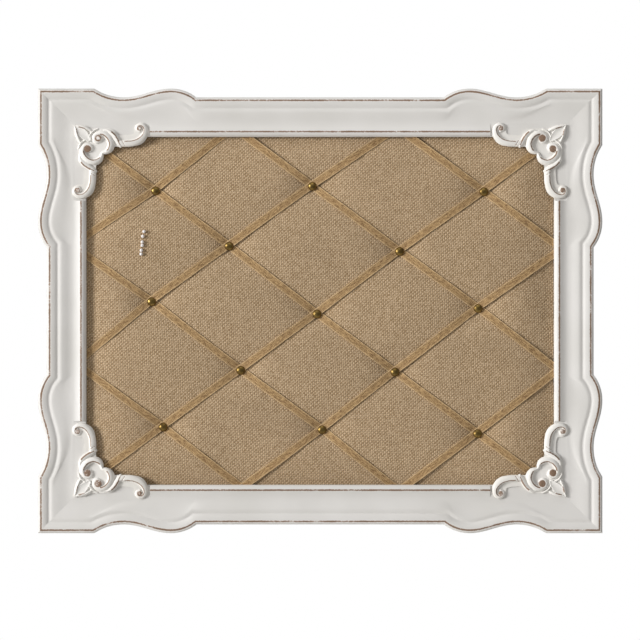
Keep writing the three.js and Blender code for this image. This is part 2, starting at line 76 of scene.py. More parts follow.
class Slot(Enum):
    """Material slot names for the kinds of piece made here; nothing in this script gives them out."""

    FRAME = "painted_wood"
    CARVING = "carved_paint"
    BURLAP = "burlap"
    BATTING = "batting"
    TAPE = "jute_tape"
    BRASS = "antique_brass"
    PEARL = "pearl"
    STEEL = "steel"
    RUBBER = "rubber"


class Corner(Enum):
    """The frame's corners: name, side of x, side of z and quarter turns from the top left."""

    TOP_LEFT = ("top_left", -1, 1, 0)
    TOP_RIGHT = ("top_right", 1, 1, 1)
    BOTTOM_RIGHT = ("bottom_right", 1, -1, 2)
    BOTTOM_LEFT = ("bottom_left", -1, -1, 3)


class Side(Enum):
    """The frame's rails: node, and quarter turns from the top."""

    TOP = ("top_rail", 0)
    RIGHT = ("right_stile", 1)
    BOTTOM = ("bottom_rail", 2)
    LEFT = ("left_stile", 3)


# Curves and numbers


def metres(points: np.ndarray) -> np.ndarray:
    """Turns x, height and z in millimetres into x, y and z in metres."""
    return np.asarray(points, float) * (MM, -MM, MM)


def quarter_turned(points: np.ndarray, turns: int) -> np.ndarray:
    """Turns x, height and z clockwise, seen from the front, by quarter turns."""
    x, height, z = np.moveaxis(np.asarray(points, float), -1, 0)
    for _ in range(turns):
        x, z = z, -x
    return np.stack([x, height, z], axis=-1)


def smooth_step(value: np.ndarray | float, low: float, high: float) -> np.ndarray:
    """Eases from 0 at low to 1 at high."""
    part = np.clip((np.asarray(value, float) - low) / (high - low), 0, 1)
    return part * part * (3 - 2 * part)


def through(points: Sequence[Sequence[float]], count: int, closed: bool = False) -> np.ndarray:
    """Lays points at even steps on a smooth curve through the given ones.

    Args:
        points: What the curve passes through; the first two numbers of each measure the steps.
        count: How many points to lay.
        closed: Whether the curve runs back to its start, which is then left out.

    Returns:
        The points, one to a row.
    """
    given = np.asarray(points, float)
    ends = (given[-1:], given[:2]) if closed else (2 * given[:1] - given[1:2], 2 * given[-1:] - given[-2:-1])
    row = np.concatenate([ends[0], given, ends[1]])
    part = np.linspace(0, 1, CURVE_STEPS, endpoint=False)[:, None]
    pieces = []
    for k in range(len(row) - 3):
        a, b, c, d = row[k : k + 4]
        bend = (2 * a - 5 * b + 4 * c - d) * part**2 + (3 * b - a - 3 * c + d) * part**3
        pieces.append((2 * b + (c - a) * part + bend) / 2)
    fine = np.concatenate([*pieces, row[-2:-1]])
    travelled = np.concatenate([[0], np.cumsum(np.linalg.norm(np.diff(fine[:, :2], axis=0), axis=1))])
    stops = np.linspace(0, travelled[-1], count, endpoint=not closed)
    return np.stack([np.interp(stops, travelled, column) for column in fine.T], axis=1)


# Tools for making pieces


def clear_selection() -> None:
    """Deselects everything, so that an operator acts on one piece alone."""
    bpy.ops.object.select_all(action="DESELECT")


def pick(piece: bpy.types.Object) -> None:
    """Makes the piece the one selected and active object."""
    clear_selection()
    piece.select_set(True)
    bpy.context.view_layer.objects.active = piece


@contextmanager
def editing(piece: bpy.types.Object) -> Iterator[None]:
    """Opens the piece in edit mode with all of it selected, and closes it again."""
    pick(piece)
    bpy.ops.object.mode_set(mode="EDIT")
    bpy.ops.mesh.select_all(action="SELECT")
    yield
    bpy.ops.object.mode_set(mode="OBJECT")


def select_rim() -> None:
    """In edit mode, selects a sheet's open edges alone."""
    bpy.ops.mesh.select_all(action="DESELECT")
    bpy.ops.mesh.select_non_manifold(extend=False)


def face_outwards() -> None:
    """In edit mode, selects a piece's faces and turns them outwards."""
    bpy.ops.mesh.select_all(action="SELECT")
    bpy.ops.mesh.normals_make_consistent(inside=False)


def draw_rim_back(height: float) -> None:
    """In edit mode, draws a sheet's open edges straight back to one height."""
    select_rim()
    bpy.ops.mesh.extrude_region_move(TRANSFORM_OT_translate={"value": (0, 1 * MM, 0)})
    bpy.ops.transform.resize(value=(1, 0, 1), center_override=(0, -height * MM, 0))


def named(piece: bpy.types.Object, name: str) -> bpy.types.Object:
    """Gives an object and its mesh one name."""
    piece.name = piece.data.name = name
    return piece


def grid_piece(name: str, points: np.ndarray, marks: dict[str, np.ndarray] | None = None) -> bpy.types.Object:
    """Adds a grid and lays its vertices on given points.

    Args:
        name: The piece's name.
        points: Rows by columns of x, height and z in millimetres.
        marks: Named values to keep on the vertices, rows by columns.

    Returns:
        The new piece, still an open sheet.
    """
    rows, columns = points.shape[:2]
    clear_selection()
    bpy.ops.mesh.primitive_grid_add(x_subdivisions=columns - 1, y_subdivisions=rows - 1, size=2)
    piece = named(bpy.context.object, name)
    piece.data.vertices.foreach_set("co", metres(points).ravel())
    for mark, values in (marks or {}).items():
        piece.data.attributes.new(mark, "FLOAT", "POINT").data.foreach_set("value", values.ravel())
    piece.data.update()
    return piece


def marked(piece: bpy.types.Object, mark: str) -> np.ndarray:
    """The values that a mark has on the piece's vertices."""
    values = np.zeros(len(piece.data.vertices))
    piece.data.attributes[mark].data.foreach_get("value", values)
    return values


def unmark(piece: bpy.types.Object, *marks: str) -> None:
    """Drops marks from the piece's vertices."""
    for mark in marks:
        piece.data.attributes.remove(piece.data.attributes[mark])


def close_up(piece: bpy.types.Object) -> bpy.types.Object:
    """Welds the seams of a lofted piece, caps its ends and turns its faces outwards."""
    with editing(piece):
        bpy.ops.mesh.remove_doubles(threshold=WELD)
        select_rim()
        bpy.ops.mesh.fill_holes(sides=0)
        face_outwards()
    return piece


def turned_piece(name: str, profile: Sequence[Point], sides: int) -> bpy.types.Object:
    """Turns a piece as on a lathe, by drawing a disc out ring by ring.

    Args:
        name: The piece's name.
        profile: [radius, height] of each ring, from the rear; the axis is at x = z = 0.
        sides: How many sides the rings have.

    Returns:
        The new closed piece.
    """
    clear_selection()
    radius, height = profile[0]
    bpy.ops.mesh.primitive_circle_add(
        vertices=sides,
        radius=radius * MM,
        fill_type="NGON",
        location=(0, -height * MM, 0),
        rotation=(math.pi / 2, 0, 0),
    )
    piece = named(bpy.context.object, name)
    bpy.ops.object.transform_apply()
    with editing(piece):
        for (r0, h0), (r1, h1) in pairwise(profile):
            bpy.ops.mesh.extrude_region_move(TRANSFORM_OT_translate={"value": (0, (h0 - h1) * MM, 0)})
            bpy.ops.transform.resize(value=(r1 / r0, 1, r1 / r0), center_override=(0, -h1 * MM, 0))
        face_outwards()
    return piece


def applied(piece: bpy.types.Object, kind: str, **settings: object) -> bpy.types.Object:
    """Adds a modifier with its settings and applies it."""
    pick(piece)
    modifier = piece.modifiers.new(kind.title(), kind)
    for name, value in settings.items():
        setattr(modifier, name, value)
    bpy.ops.object.modifier_apply(modifier=modifier.name)
    return piece


def copied(piece: bpy.types.Object, name: str, move: Matrix) -> bpy.types.Object:
    """Copies a piece, mesh and all, and moves the copy's mesh."""
    copy = piece.copy()
    copy.data = piece.data.copy()
    bpy.context.scene.collection.objects.link(copy)
    copy.data.transform(move)
    return named(copy, name)


def discard(piece: bpy.types.Object) -> None:
    """Removes a pattern piece and its mesh."""
    mesh = piece.data
    bpy.data.objects.remove(piece)
    bpy.data.meshes.remove(mesh)


def at(x: float, height: float, z: float) -> Matrix:
    """The move from the origin to a place on the board."""
    return Matrix.Translation(Vector((x, -height, z)) * MM)


def cad_box(name: str) -> tuple[Vector, Vector, Point]:
    """A CAD node's low and high corners, and the x and z of its middle, in millimetres."""
    low, high = [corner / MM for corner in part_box(name)]
    return low, high, ((low.x + high.x) / 2, (low.z + high.z) / 2)


def fit(
    piece: bpy.types.Object,
    finish: "Finish",
    cad: str | None,
    body: str = BOARD,
    crease: float = 38,
) -> bpy.types.Object:
    """Gives a piece its finish, shading and body.

    Args:
        piece: The finished mesh.
        finish: What covers it.
        cad: The CAD node that it stands for, if any.
        body: The body that it moves with.
        crease: Edges sharper than this many degrees stay sharp.

    Returns:
        The same piece.
    """
    piece.data.materials.clear()
    piece.data.materials.append(finish.material())
    pick(piece)
    bpy.ops.object.shade_smooth_by_angle(angle=math.radians(crease))
    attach(piece, body)
    if cad:
        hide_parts(cad)
    LOG.info("%s: %d faces on %s", piece.name, len(piece.data.polygons), body)
    return piece


# Finishes


def linear(colour: str) -> tuple[float, float, float, float]:
    """Turns an sRGB hex colour into linear red, green, blue and alpha."""
    parts = [int(colour[k : k + 2], 16) / 255 for k in (1, 3, 5)]
    return (*[p / 12.92 if p <= 0.04045 else ((p + 0.055) / 1.055) ** 2.4 for p in parts], 1.0)


def per_mm(size: float) -> float:
    """The texture scale that gives a pattern this size in millimetres."""
    return 1 / (size * MM)


def node(
    tree: bpy.types.NodeTree, kind: str, inputs: dict[str | int, object] | None = None, **settings: object
) -> bpy.types.Node:
    """Adds a shader node.

    Args:
        tree: Where it goes.
        kind: Its type, without the leading ShaderNode.
        inputs: What each input socket takes: a value, another socket, or a node's first output.
        settings: The node's own properties.

    Returns:
        The new node.
    """
    made = tree.nodes.new("ShaderNode" + kind)
    for name, value in settings.items():
        setattr(made, name, value)
    for key, value in (inputs or {}).items():
        source = value.outputs[0] if isinstance(value, bpy.types.Node) else value
        if isinstance(source, bpy.types.NodeSocket):
            tree.links.new(source, made.inputs[key])
        else:
            made.inputs[key].default_value = source
    return made


# Sockets of a Mix node that blends colours.
MIX_A, MIX_B, MIX_OUT = 6, 7, 2

# Ranges of values: from none to all, where nearly all of a noise lies, most of it, and its middle.
UNIT: Point = (0.0, 1.0)
NOISE_ALL: Point = (0.25, 0.75)
NOISE_SPAN: Point = (0.3, 0.7)
NOISE_CORE: Point = (0.35, 0.65)


def maths(tree: bpy.types.NodeTree, operation: str, *inputs: object) -> bpy.types.Node:
    """Adds a Math node that takes its inputs in this order."""
    return node(tree, "Math", dict(enumerate(inputs)), operation=operation)


def vectors(tree: bpy.types.NodeTree, operation: str, first: object, second: object) -> bpy.types.Node:
    """Adds a Vector Math node that takes two vectors."""
    return node(tree, "VectorMath", {0: first, 1: second}, operation=operation)


def noise(
    tree: bpy.types.NodeTree, place: object, size: float, detail: float, distortion: float = 0.0
) -> bpy.types.Node:
    """Adds a noise texture.

    Args:
        tree: Where it goes.
        place: The place's socket, or a node's first output.
        size: How large its features are, in millimetres.
        detail: How many finer layers it has.
        distortion: How far its features are drawn out of shape.

    Returns:
        The new node.
    """
    inputs = {"Vector": place, "Scale": per_mm(size), "Detail": detail, "Distortion": distortion}
    return node(tree, "TexNoise", inputs)


def ranged(
    tree: bpy.types.NodeTree, value: object, source: Point = UNIT, target: Point = UNIT, smooth: bool = False
) -> bpy.types.Node:
    """Adds a node that lays one range of values over another and stays inside it.

    Args:
        tree: Where it goes.
        value: The value's socket, or a node's first output.
        source: The range that is taken.
        target: The range that is given.
        smooth: Whether it eases in and out.

    Returns:
        The new node.
    """
    inputs = {"Value": value, 1: source[0], 2: source[1], 3: target[0], 4: target[1]}
    return node(tree, "MapRange", inputs, interpolation_type="SMOOTHSTEP" if smooth else "LINEAR")


def blended(tree: bpy.types.NodeTree, share: object, first: object, second: object) -> bpy.types.NodeSocket:
    """Blends two colours.

    Args:
        tree: Where the node goes.
        share: How much of the second one shows: a socket, or a node's first output.
        first: A colour's socket, or an sRGB hex colour.
        second: The same.

    Returns:
        The blended colour's socket.
    """
    a, b = [linear(colour) if isinstance(colour, str) else colour for colour in (first, second)]
    return node(tree, "Mix", {0: share, MIX_A: a, MIX_B: b}, data_type="RGBA").outputs[MIX_OUT]


def bumped(
    tree: bpy.types.NodeTree, shader: bpy.types.Node, height: object, strength: float, depth: float
) -> None:
    """Gives a shader's surface relief.

    Args:
        tree: Where the node goes.
        shader: The shader.
        height: The relief's socket, or a node's first output.
        strength: How strongly it shows, from 0 to 1.
        depth: How deep it is, in millimetres.
    """
    bump = node(tree, "Bump", {"Strength": strength, "Distance": depth * MM, "Height": height})
    tree.links.new(bump.outputs[0], shader.inputs["Normal"])


@dataclass(frozen=True)
class Finish:
    """A surface made of nodes; each kind fills in its own tree."""

    name: str
    roughness: float

    def material(self) -> bpy.types.Material:
        """Returns the material, made the first time that it is asked for."""
        made = bpy.data.materials.get(self.name)
        if made is None:
            made = bpy.data.materials.new(self.name)
            made.use_nodes = True
            shader = made.node_tree.nodes["Principled BSDF"]
            shader.inputs["Roughness"].default_value = self.roughness
            self.surface(made.node_tree, shader)
        return made

    def surface(self, tree: bpy.types.NodeTree, shader: bpy.types.Node) -> None:
        """Builds the nodes that feed the shader."""
        raise NotImplementedError


@dataclass(frozen=True)
class WornPaint(Finish):
    """Brushed matt paint over brown-stained wood, rubbed through on the arrises.

    The eye gets soft off-white with faint brush marks, and ragged brown lines where "wear" is high. Where
    "raw" is 1 the rear shows bare planed pine.
    """

    name: str = "brushed_white_paint_rubbed_through"
    roughness: float = 0.5
    paint: str = "#e0ddd9"
    paint_shade: str = "#d8d5d0"
    thin: str = "#bcaa9f"
    stain: str = "#9b7f69"
    stain_dark: str = "#5c4736"
    pine: str = "#c9a877"
    pine_dark: str = "#a98554"
    patch: float = 15.0  # length of a rubbed stretch
    ragged: float = 1.8  # raggedness of its edge
    cloud: float = 70.0  # size of a paler or darker area
    rubbing: Point = (0.6, 1.4)  # how little and how much a stretch is rubbed
    edge: float = 0.36  # how far the raggedness moves an edge
    thin_at: Point = (0.34, 0.55)  # wear over which the paint gets thin
    bare_at: Point = (0.5, 0.78)  # and over which it goes
    bare_roughness: float = 0.78
    step: float = 0.5  # how far paint stands over bare wood, against its brush marks
    brush: float = 2.2  # width of a brush mark
    relief: Point = (0.35, 0.12)  # strength and depth of both
    grain: tuple[float, float, float] = (0.07, 1.0, 1.0)  # drawn out along a rail
    grain_width: float = 5.0

    def surface(self, tree: bpy.types.NodeTree, shader: bpy.types.Node) -> None:
        """Builds the nodes that feed the shader."""
        place = node(tree, "TexCoord").outputs["Object"]
        wear = node(tree, "Attribute", attribute_name="wear").outputs["Fac"]
        raw = node(tree, "Attribute", attribute_name="raw").outputs["Fac"]
        patchy = noise(tree, place, self.patch, detail=3.0)
        ragged = noise(tree, place, self.ragged, detail=2.0)
        broad = noise(tree, place, self.cloud, detail=2.0)
        rubbing = ranged(tree, patchy, NOISE_SPAN, self.rubbing)
        rubbed = maths(tree, "MULTIPLY", wear, rubbing)
        edge = ranged(tree, ragged, NOISE_ALL, (-self.edge, self.edge))
        worn = maths(tree, "ADD", rubbed, edge)
        thinned = ranged(tree, worn, self.thin_at, smooth=True)
        bared = ranged(tree, worn, self.bare_at, smooth=True)
        tint = ranged(tree, broad, NOISE_SPAN)
        paint = blended(tree, tint, self.paint, self.paint_shade)
        wood = blended(tree, ragged, self.stain_dark, self.stain)
        thin = blended(tree, thinned, paint, self.thin)
        front = blended(tree, bared, thin, wood)
        drawn = vectors(tree, "MULTIPLY", place, self.grain)
        grain = noise(tree, drawn, self.grain_width, detail=4.0, distortion=0.6)
        band = ranged(tree, grain, NOISE_CORE)
        pine = blended(tree, band, self.pine, self.pine_dark)
        tree.links.new(blended(tree, raw, front, pine), shader.inputs["Base Color"])
        dull = ranged(tree, bared, target=(self.roughness, self.bare_roughness))
        tree.links.new(dull.outputs[0], shader.inputs["Roughness"])
        brush = noise(tree, place, self.brush, detail=4.0)
        sunk = ranged(tree, bared, target=(self.step, 0.0))
        bumped(tree, shader, maths(tree, "ADD", brush, sunk), *self.relief)


@dataclass(frozen=True)
class Weave:
    """A plain weave: threads that pass over and under each other in turn."""

    across: float  # spacing of the threads that run up
    along: float  # spacing of the threads that run across
    round: float = 1.0  # how round the upright threads look; lower is flatter
    level: float = 0.42  # the same for the threads that run across
    twist: float = 0.8  # how far the threads' twist draws the crowns out along one diagonal
    stretch: float = 1.0  # how many crossings a thread keeps its tone for
    stagger: float = 0.37  # where the next thread changes its own

    def build(
        self, tree: bpy.types.NodeTree, u: bpy.types.NodeSocket, v: bpy.types.NodeSocket
    ) -> tuple[bpy.types.NodeSocket, bpy.types.NodeSocket, bpy.types.NodeSocket]:
        """Adds the weave's nodes.

        Args:
            tree: Where they go.
            u: Distance across, in metres.
            v: Distance along, in metres.

        Returns:
            The weave's height from 0, in a gap, to 1; its crowns, high where an upright thread is on top
            and low where one is under; and a random tone for each stretch of thread.
        """
        counts, angles, waves, tones = [], [], [], []
        for place, spacing in ((u, self.across), (v, self.along)):
            counts.append(maths(tree, "MULTIPLY", place, per_mm(spacing)))
            angles.append(maths(tree, "MULTIPLY", counts[-1], math.pi))
            waves.append(maths(tree, "SINE", angles[-1]))
        for count, other in (counts, counts[::-1]):
            thread = maths(tree, "FLOOR", count)
            offset = maths(tree, "MULTIPLY", thread, self.stagger)
            reach = maths(tree, "MULTIPLY_ADD", other, 1 / self.stretch, offset)
            pair = node(tree, "CombineXYZ", {0: thread, 1: maths(tree, "FLOOR", reach)})
            tones.append(node(tree, "TexWhiteNoise", {"Vector": pair}, noise_dimensions="2D"))
        square = maths(tree, "MULTIPLY", *waves)
        drawn = maths(tree, "COSINE", maths(tree, "SUBTRACT", *angles))
        crown = maths(tree, "MULTIPLY_ADD", drawn, self.twist, square)
        tops = []
        for this, other, sense, shape in ((*waves, 1.0, self.round), (*waves[::-1], -1.0, self.level)):
            body = maths(tree, "POWER", maths(tree, "ABSOLUTE", this), shape)
            over = maths(tree, "MULTIPLY", other, maths(tree, "SIGN", this))
            lift = maths(tree, "MULTIPLY_ADD", over, 0.5 * sense, 0.5)
            tops.append(maths(tree, "MULTIPLY", body, lift))
        height = maths(tree, "MAXIMUM", *tops)
        first = maths(tree, "GREATER_THAN", *tops)
        tone = node(tree, "Mix", {0: first, 2: tones[1], 3: tones[0]})
        return height.outputs[0], crown.outputs[0], tone.outputs[0]


@dataclass(frozen=True)
class Burlap(Finish):
    """Undyed jute burlap: coarse spun threads with slubs and gaps painted dark as shade, dull all over."""

    name: str = "plain_woven_jute_burlap"
    roughness: float = 0.95
    light: str = "#d4b997"
    low: str = "#947853"
    # painted shade: the colour that the gaps between threads are painted, standing for the shade in them
    gap: str = "#4d3a22"
    weave: Weave = Weave(across=2.34, along=2.28)
    drift: float = 17.0  # how far apart the threads' bends are
    bend: float = 1.0  # how far they bend
    lean: Point = (0.05, 0.02)  # how far the threads lean off square
    slub: float = 1.2  # length of a thick place in a thread
    cloud: float = 60.0  # size of a paler or darker area
    by_thread: float = 1.2  # how much of the tone threads, crowns and slubs make
    # painted light and shade: crossings where an upright thread is on top are painted lighter and the others
    # darker, as lit and shaded crowns
    by_crown_light_and_shade: float = 0.58
    by_slub: float = 3.4
    tones: Point = (1.12, 3.42)  # their sum, from the low tone to the light one
    # painted shade: over these weave heights the dark gap colour gives way to the thread's
    gap_shade_range: Point = (0.1, 0.62)  # heights over which a gap's tone gives way
    clouding: Point = (0.95, 1.05)
    sheen: float = 0.15
    fuzz: float = 0.35  # how much of the slubs shows in the relief
    relief: Point = (0.7, 0.5)  # its strength and depth

    def surface(self, tree: bpy.types.NodeTree, shader: bpy.types.Node) -> None:
        """Builds the nodes that feed the shader."""
        place = node(tree, "TexCoord").outputs["Object"]
        drift = noise(tree, place, self.drift, detail=3.0)
        offset = vectors(tree, "SUBTRACT", drift.outputs["Color"], (0.5, 0.5, 0.5))
        spread = node(tree, "VectorMath", {0: offset, "Scale": 2 * self.bend * MM}, operation="SCALE")
        axes = node(tree, "SeparateXYZ", {0: vectors(tree, "ADD", spread, place)})
        x, z = axes.outputs["X"], axes.outputs["Z"]
        upright = maths(tree, "MULTIPLY_ADD", z, -self.lean[0], x)
        level = maths(tree, "MULTIPLY_ADD", x, self.lean[1], z)
        height, crown, tone = self.weave.build(tree, upright.outputs[0], level.outputs[0])
        slub = noise(tree, place, self.slub, detail=2.0)
        cloud = noise(tree, place, self.cloud, detail=3.0)
        spun = maths(tree, "MULTIPLY", tone, self.by_thread)
        # adds the painted light and shade of the crowns to the threads' tones
        varied = maths(tree, "MULTIPLY_ADD", crown, self.by_crown_light_and_shade, spun)
        mixed = maths(tree, "MULTIPLY_ADD", slub, self.by_slub, varied)
        thread = blended(tree, ranged(tree, mixed, self.tones), self.low, self.light)
        # painted shade: the gaps between threads are painted dark
        depth = ranged(tree, height, self.gap_shade_range, smooth=True)
        cloth = blended(tree, depth, self.gap, thread)
        value = ranged(tree, cloud, NOISE_SPAN, self.clouding)
        toned = node(tree, "HueSaturation", {"Value": value, "Color": cloth})
        tree.links.new(toned.outputs[0], shader.inputs["Base Color"])
        shader.inputs["Sheen Weight"].default_value = self.sheen
        bumped(tree, shader, maths(tree, "MULTIPLY_ADD", slub, self.fuzz, height), *self.relief)


@dataclass(frozen=True)
class JuteTape(Finish):
    """Woven jute tape: finer and redder than the burlap, streaked lengthwise, pale at its selvages.

    Its threads are about 0.8 mm apart; they are drawn at about twice that, so that they show.
    """

    name: str = "woven_jute_tape"
    roughness: float = 0.9
    light: str = "#c6a474"
    dark: str = "#785a38"
    # painted shade: the colour that the gaps between threads are painted, standing for the shade in them
    gap: str = "#6d5433"
    selvage: str = "#cdb086"
    weave: Weave = Weave(across=1.6, along=2.0)
    streak: float = 1.4  # width of a streak
    drawn: float = 0.22  # its width over its length
    spot: float = 1.3  # size of a fleck
    by_thread: float = 0.2  # how much of the tone threads and flecks make, against the streaks
    by_spot: float = 0.8
    tones: Point = (0.75, 1.27)  # their sum, from the dark tone to the light one
    # painted shade: over these weave heights the dark gap colour gives way to the thread's
    gap_shade_range: Point = (0.05, 0.45)  # heights over which a gap's tone gives way
    rim: Point = (0.68, 0.8)  # where a selvage begins and is full, as parts of half the width
    broken: Point = (0.3, 0.9)  # how little and how much it shows
    relief: Point = (0.6, 0.25)  # the weave's strength and depth

    def surface(self, tree: bpy.types.NodeTree, shader: bpy.types.Node) -> None:
        """Builds the nodes that feed the shader."""
        uv = node(tree, "UVMap", uv_map="UVMap")
        axes = node(tree, "SeparateXYZ", {0: uv})
        height, _, tone = self.weave.build(tree, axes.outputs["X"], axes.outputs["Y"])
        drawn = vectors(tree, "MULTIPLY", uv, (1.0, self.drawn, 1.0))
        streak = noise(tree, drawn, self.streak, detail=2.0)
        spot = noise(tree, uv, self.spot, detail=2.0)
        mixed = maths(tree, "MULTIPLY_ADD", tone, self.by_thread, streak)
        both = maths(tree, "MULTIPLY_ADD", spot, self.by_spot, mixed)
        thread = blended(tree, ranged(tree, both, self.tones), self.dark, self.light)
        # painted shade: the gaps between threads are painted dark
        body = blended(tree, ranged(tree, height, self.gap_shade_range), self.gap, thread)
        offset = maths(tree, "ABSOLUTE", axes.outputs["X"])
        half = TAPE_WIDTH / 2 * MM
        rim = ranged(tree, offset, (self.rim[0] * half, self.rim[1] * half))
        broken = ranged(tree, spot, NOISE_CORE, self.broken)
        pale = maths(tree, "MULTIPLY", rim, broken)
        tree.links.new(blended(tree, pale, body, self.selvage), shader.inputs["Base Color"])
        bumped(tree, shader, height, *self.relief)


@dataclass(frozen=True)
class BlotchedMetal(Finish):
    """Bare metal that has darkened in blotches: mirror-like where clean, duller in the patches."""

    bright: str = "#b9bcc0"
    dark: str = "#7d8187"
    blotch: float = 3.0  # size of a patch
    spread: Point = (0.4, 0.7)  # part of the noise over which a patch darkens
    patches: float = 0.6  # how strongly the patches show
    dulling: float = 0.2  # how much rougher they are
    relief: Point = (0.12, 0.1)  # their strength and depth

    def surface(self, tree: bpy.types.NodeTree, shader: bpy.types.Node) -> None:
        """Builds the nodes that feed the shader."""
        place = node(tree, "TexCoord").outputs["Object"]
        blotch = noise(tree, place, self.blotch, detail=4.0)
        amount = ranged(tree, blotch, self.spread, (0.0, self.patches))
        tree.links.new(blended(tree, amount, self.bright, self.dark), shader.inputs["Base Color"])
        dull = ranged(tree, amount, target=(self.roughness, self.roughness + self.dulling))
        tree.links.new(dull.outputs[0], shader.inputs["Roughness"])
        shader.inputs["Metallic"].default_value = 1.0
        bumped(tree, shader, blotch, *self.relief)


@dataclass(frozen=True)
class Pearl(Finish):
    """Moulded pearl bead: milky, with a clear gloss and a faint play of colour."""

    name: str = "pearlescent_moulded_bead"
    roughness: float = 0.28
    light: str = "#f6f1ea"
    shade: str = "#e6dcd8"
    swirl: float = 2.5  # size of a swirl
    twist: float = 0.8
    coat: float = 0.8
    coat_roughness: float = 0.08
    film: float = 380.0  # nanometres

    def surface(self, tree: bpy.types.NodeTree, shader: bpy.types.Node) -> None:
        """Builds the nodes that feed the shader."""
        place = node(tree, "TexCoord").outputs["Object"]
        swirl = noise(tree, place, self.swirl, detail=2.0, distortion=self.twist)
        tree.links.new(blended(tree, swirl, self.light, self.shade), shader.inputs["Base Color"])
        shader.inputs["Coat Weight"].default_value = self.coat
        shader.inputs["Coat Roughness"].default_value = self.coat_roughness
        shader.inputs["Thin Film Thickness"].default_value = self.film


@dataclass(frozen=True)
class FibreSheet(Finish):
    """Pressed or felted fibre: a dull sheet flecked with short fibres, and a screen's print if it has one."""

    light: str = "#b79a72"
    dark: str = "#8f734d"
    fibre: float = 1.2  # size of a fleck
    cloud: float = 45.0  # size of a paler or darker area
    tones: Point = (0.6, 1.4)  # the sum of both, from light to dark
    screen: float = 0.0  # spacing of the screen print; 0 where there is none
    relief: Point = (0.5, 0.2)  # strength and depth of print or flecks

    def surface(self, tree: bpy.types.NodeTree, shader: bpy.types.Node) -> None:
        """Builds the nodes that feed the shader."""
        place = node(tree, "TexCoord").outputs["Object"]
        fleck = noise(tree, place, self.fibre, detail=5.0)
        cloud = noise(tree, place, self.cloud, detail=3.0)
        amount = ranged(tree, maths(tree, "ADD", fleck, cloud), self.tones)
        tree.links.new(blended(tree, amount, self.light, self.dark), shader.inputs["Base Color"])
        height = fleck.outputs[0]
        if self.screen:
            axes = node(tree, "SeparateXYZ", {0: place})
            height, _, _ = Weave(self.screen, self.screen).build(tree, axes.outputs["X"], axes.outputs["Z"])
        bumped(tree, shader, height, *self.relief)


PAINT = WornPaint()
STILE_PAINT = WornPaint("brushed_white_paint_rubbed_through_on_stiles", grain=(1.0, 1.0, 0.07))
CARVED_PAINT = WornPaint(name="brushed_white_paint_on_carving", paint="#ebe8e3", paint_shade="#e2ded7")
BURLAP = Burlap()
TAPE = JuteTape()
BRASS = BlotchedMetal(
    "antique_brass_pressed", 0.35, bright="#8c7442", dark="#412f1a", blotch=5.0, patches=0.65
)
PEARL = Pearl()
STEEL = BlotchedMetal("zinc_plated_steel", 0.32)
HARDBOARD = FibreSheet("pressed_hardboard", 0.7, light="#7b573a", dark="#5a3d27", screen=2.2)
FIBREBOARD = FibreSheet("soft_fibreboard", 0.9)
BATTING = FibreSheet("polyester_batting", 0.95, light="#f1eee7", dark="#dfdbd1", fibre=2.5)
RUBBER = FibreSheet("moulded_rubber", 0.75, light="#2e2d2c", dark="#242322", fibre=0.8)


# Sub-assemblies


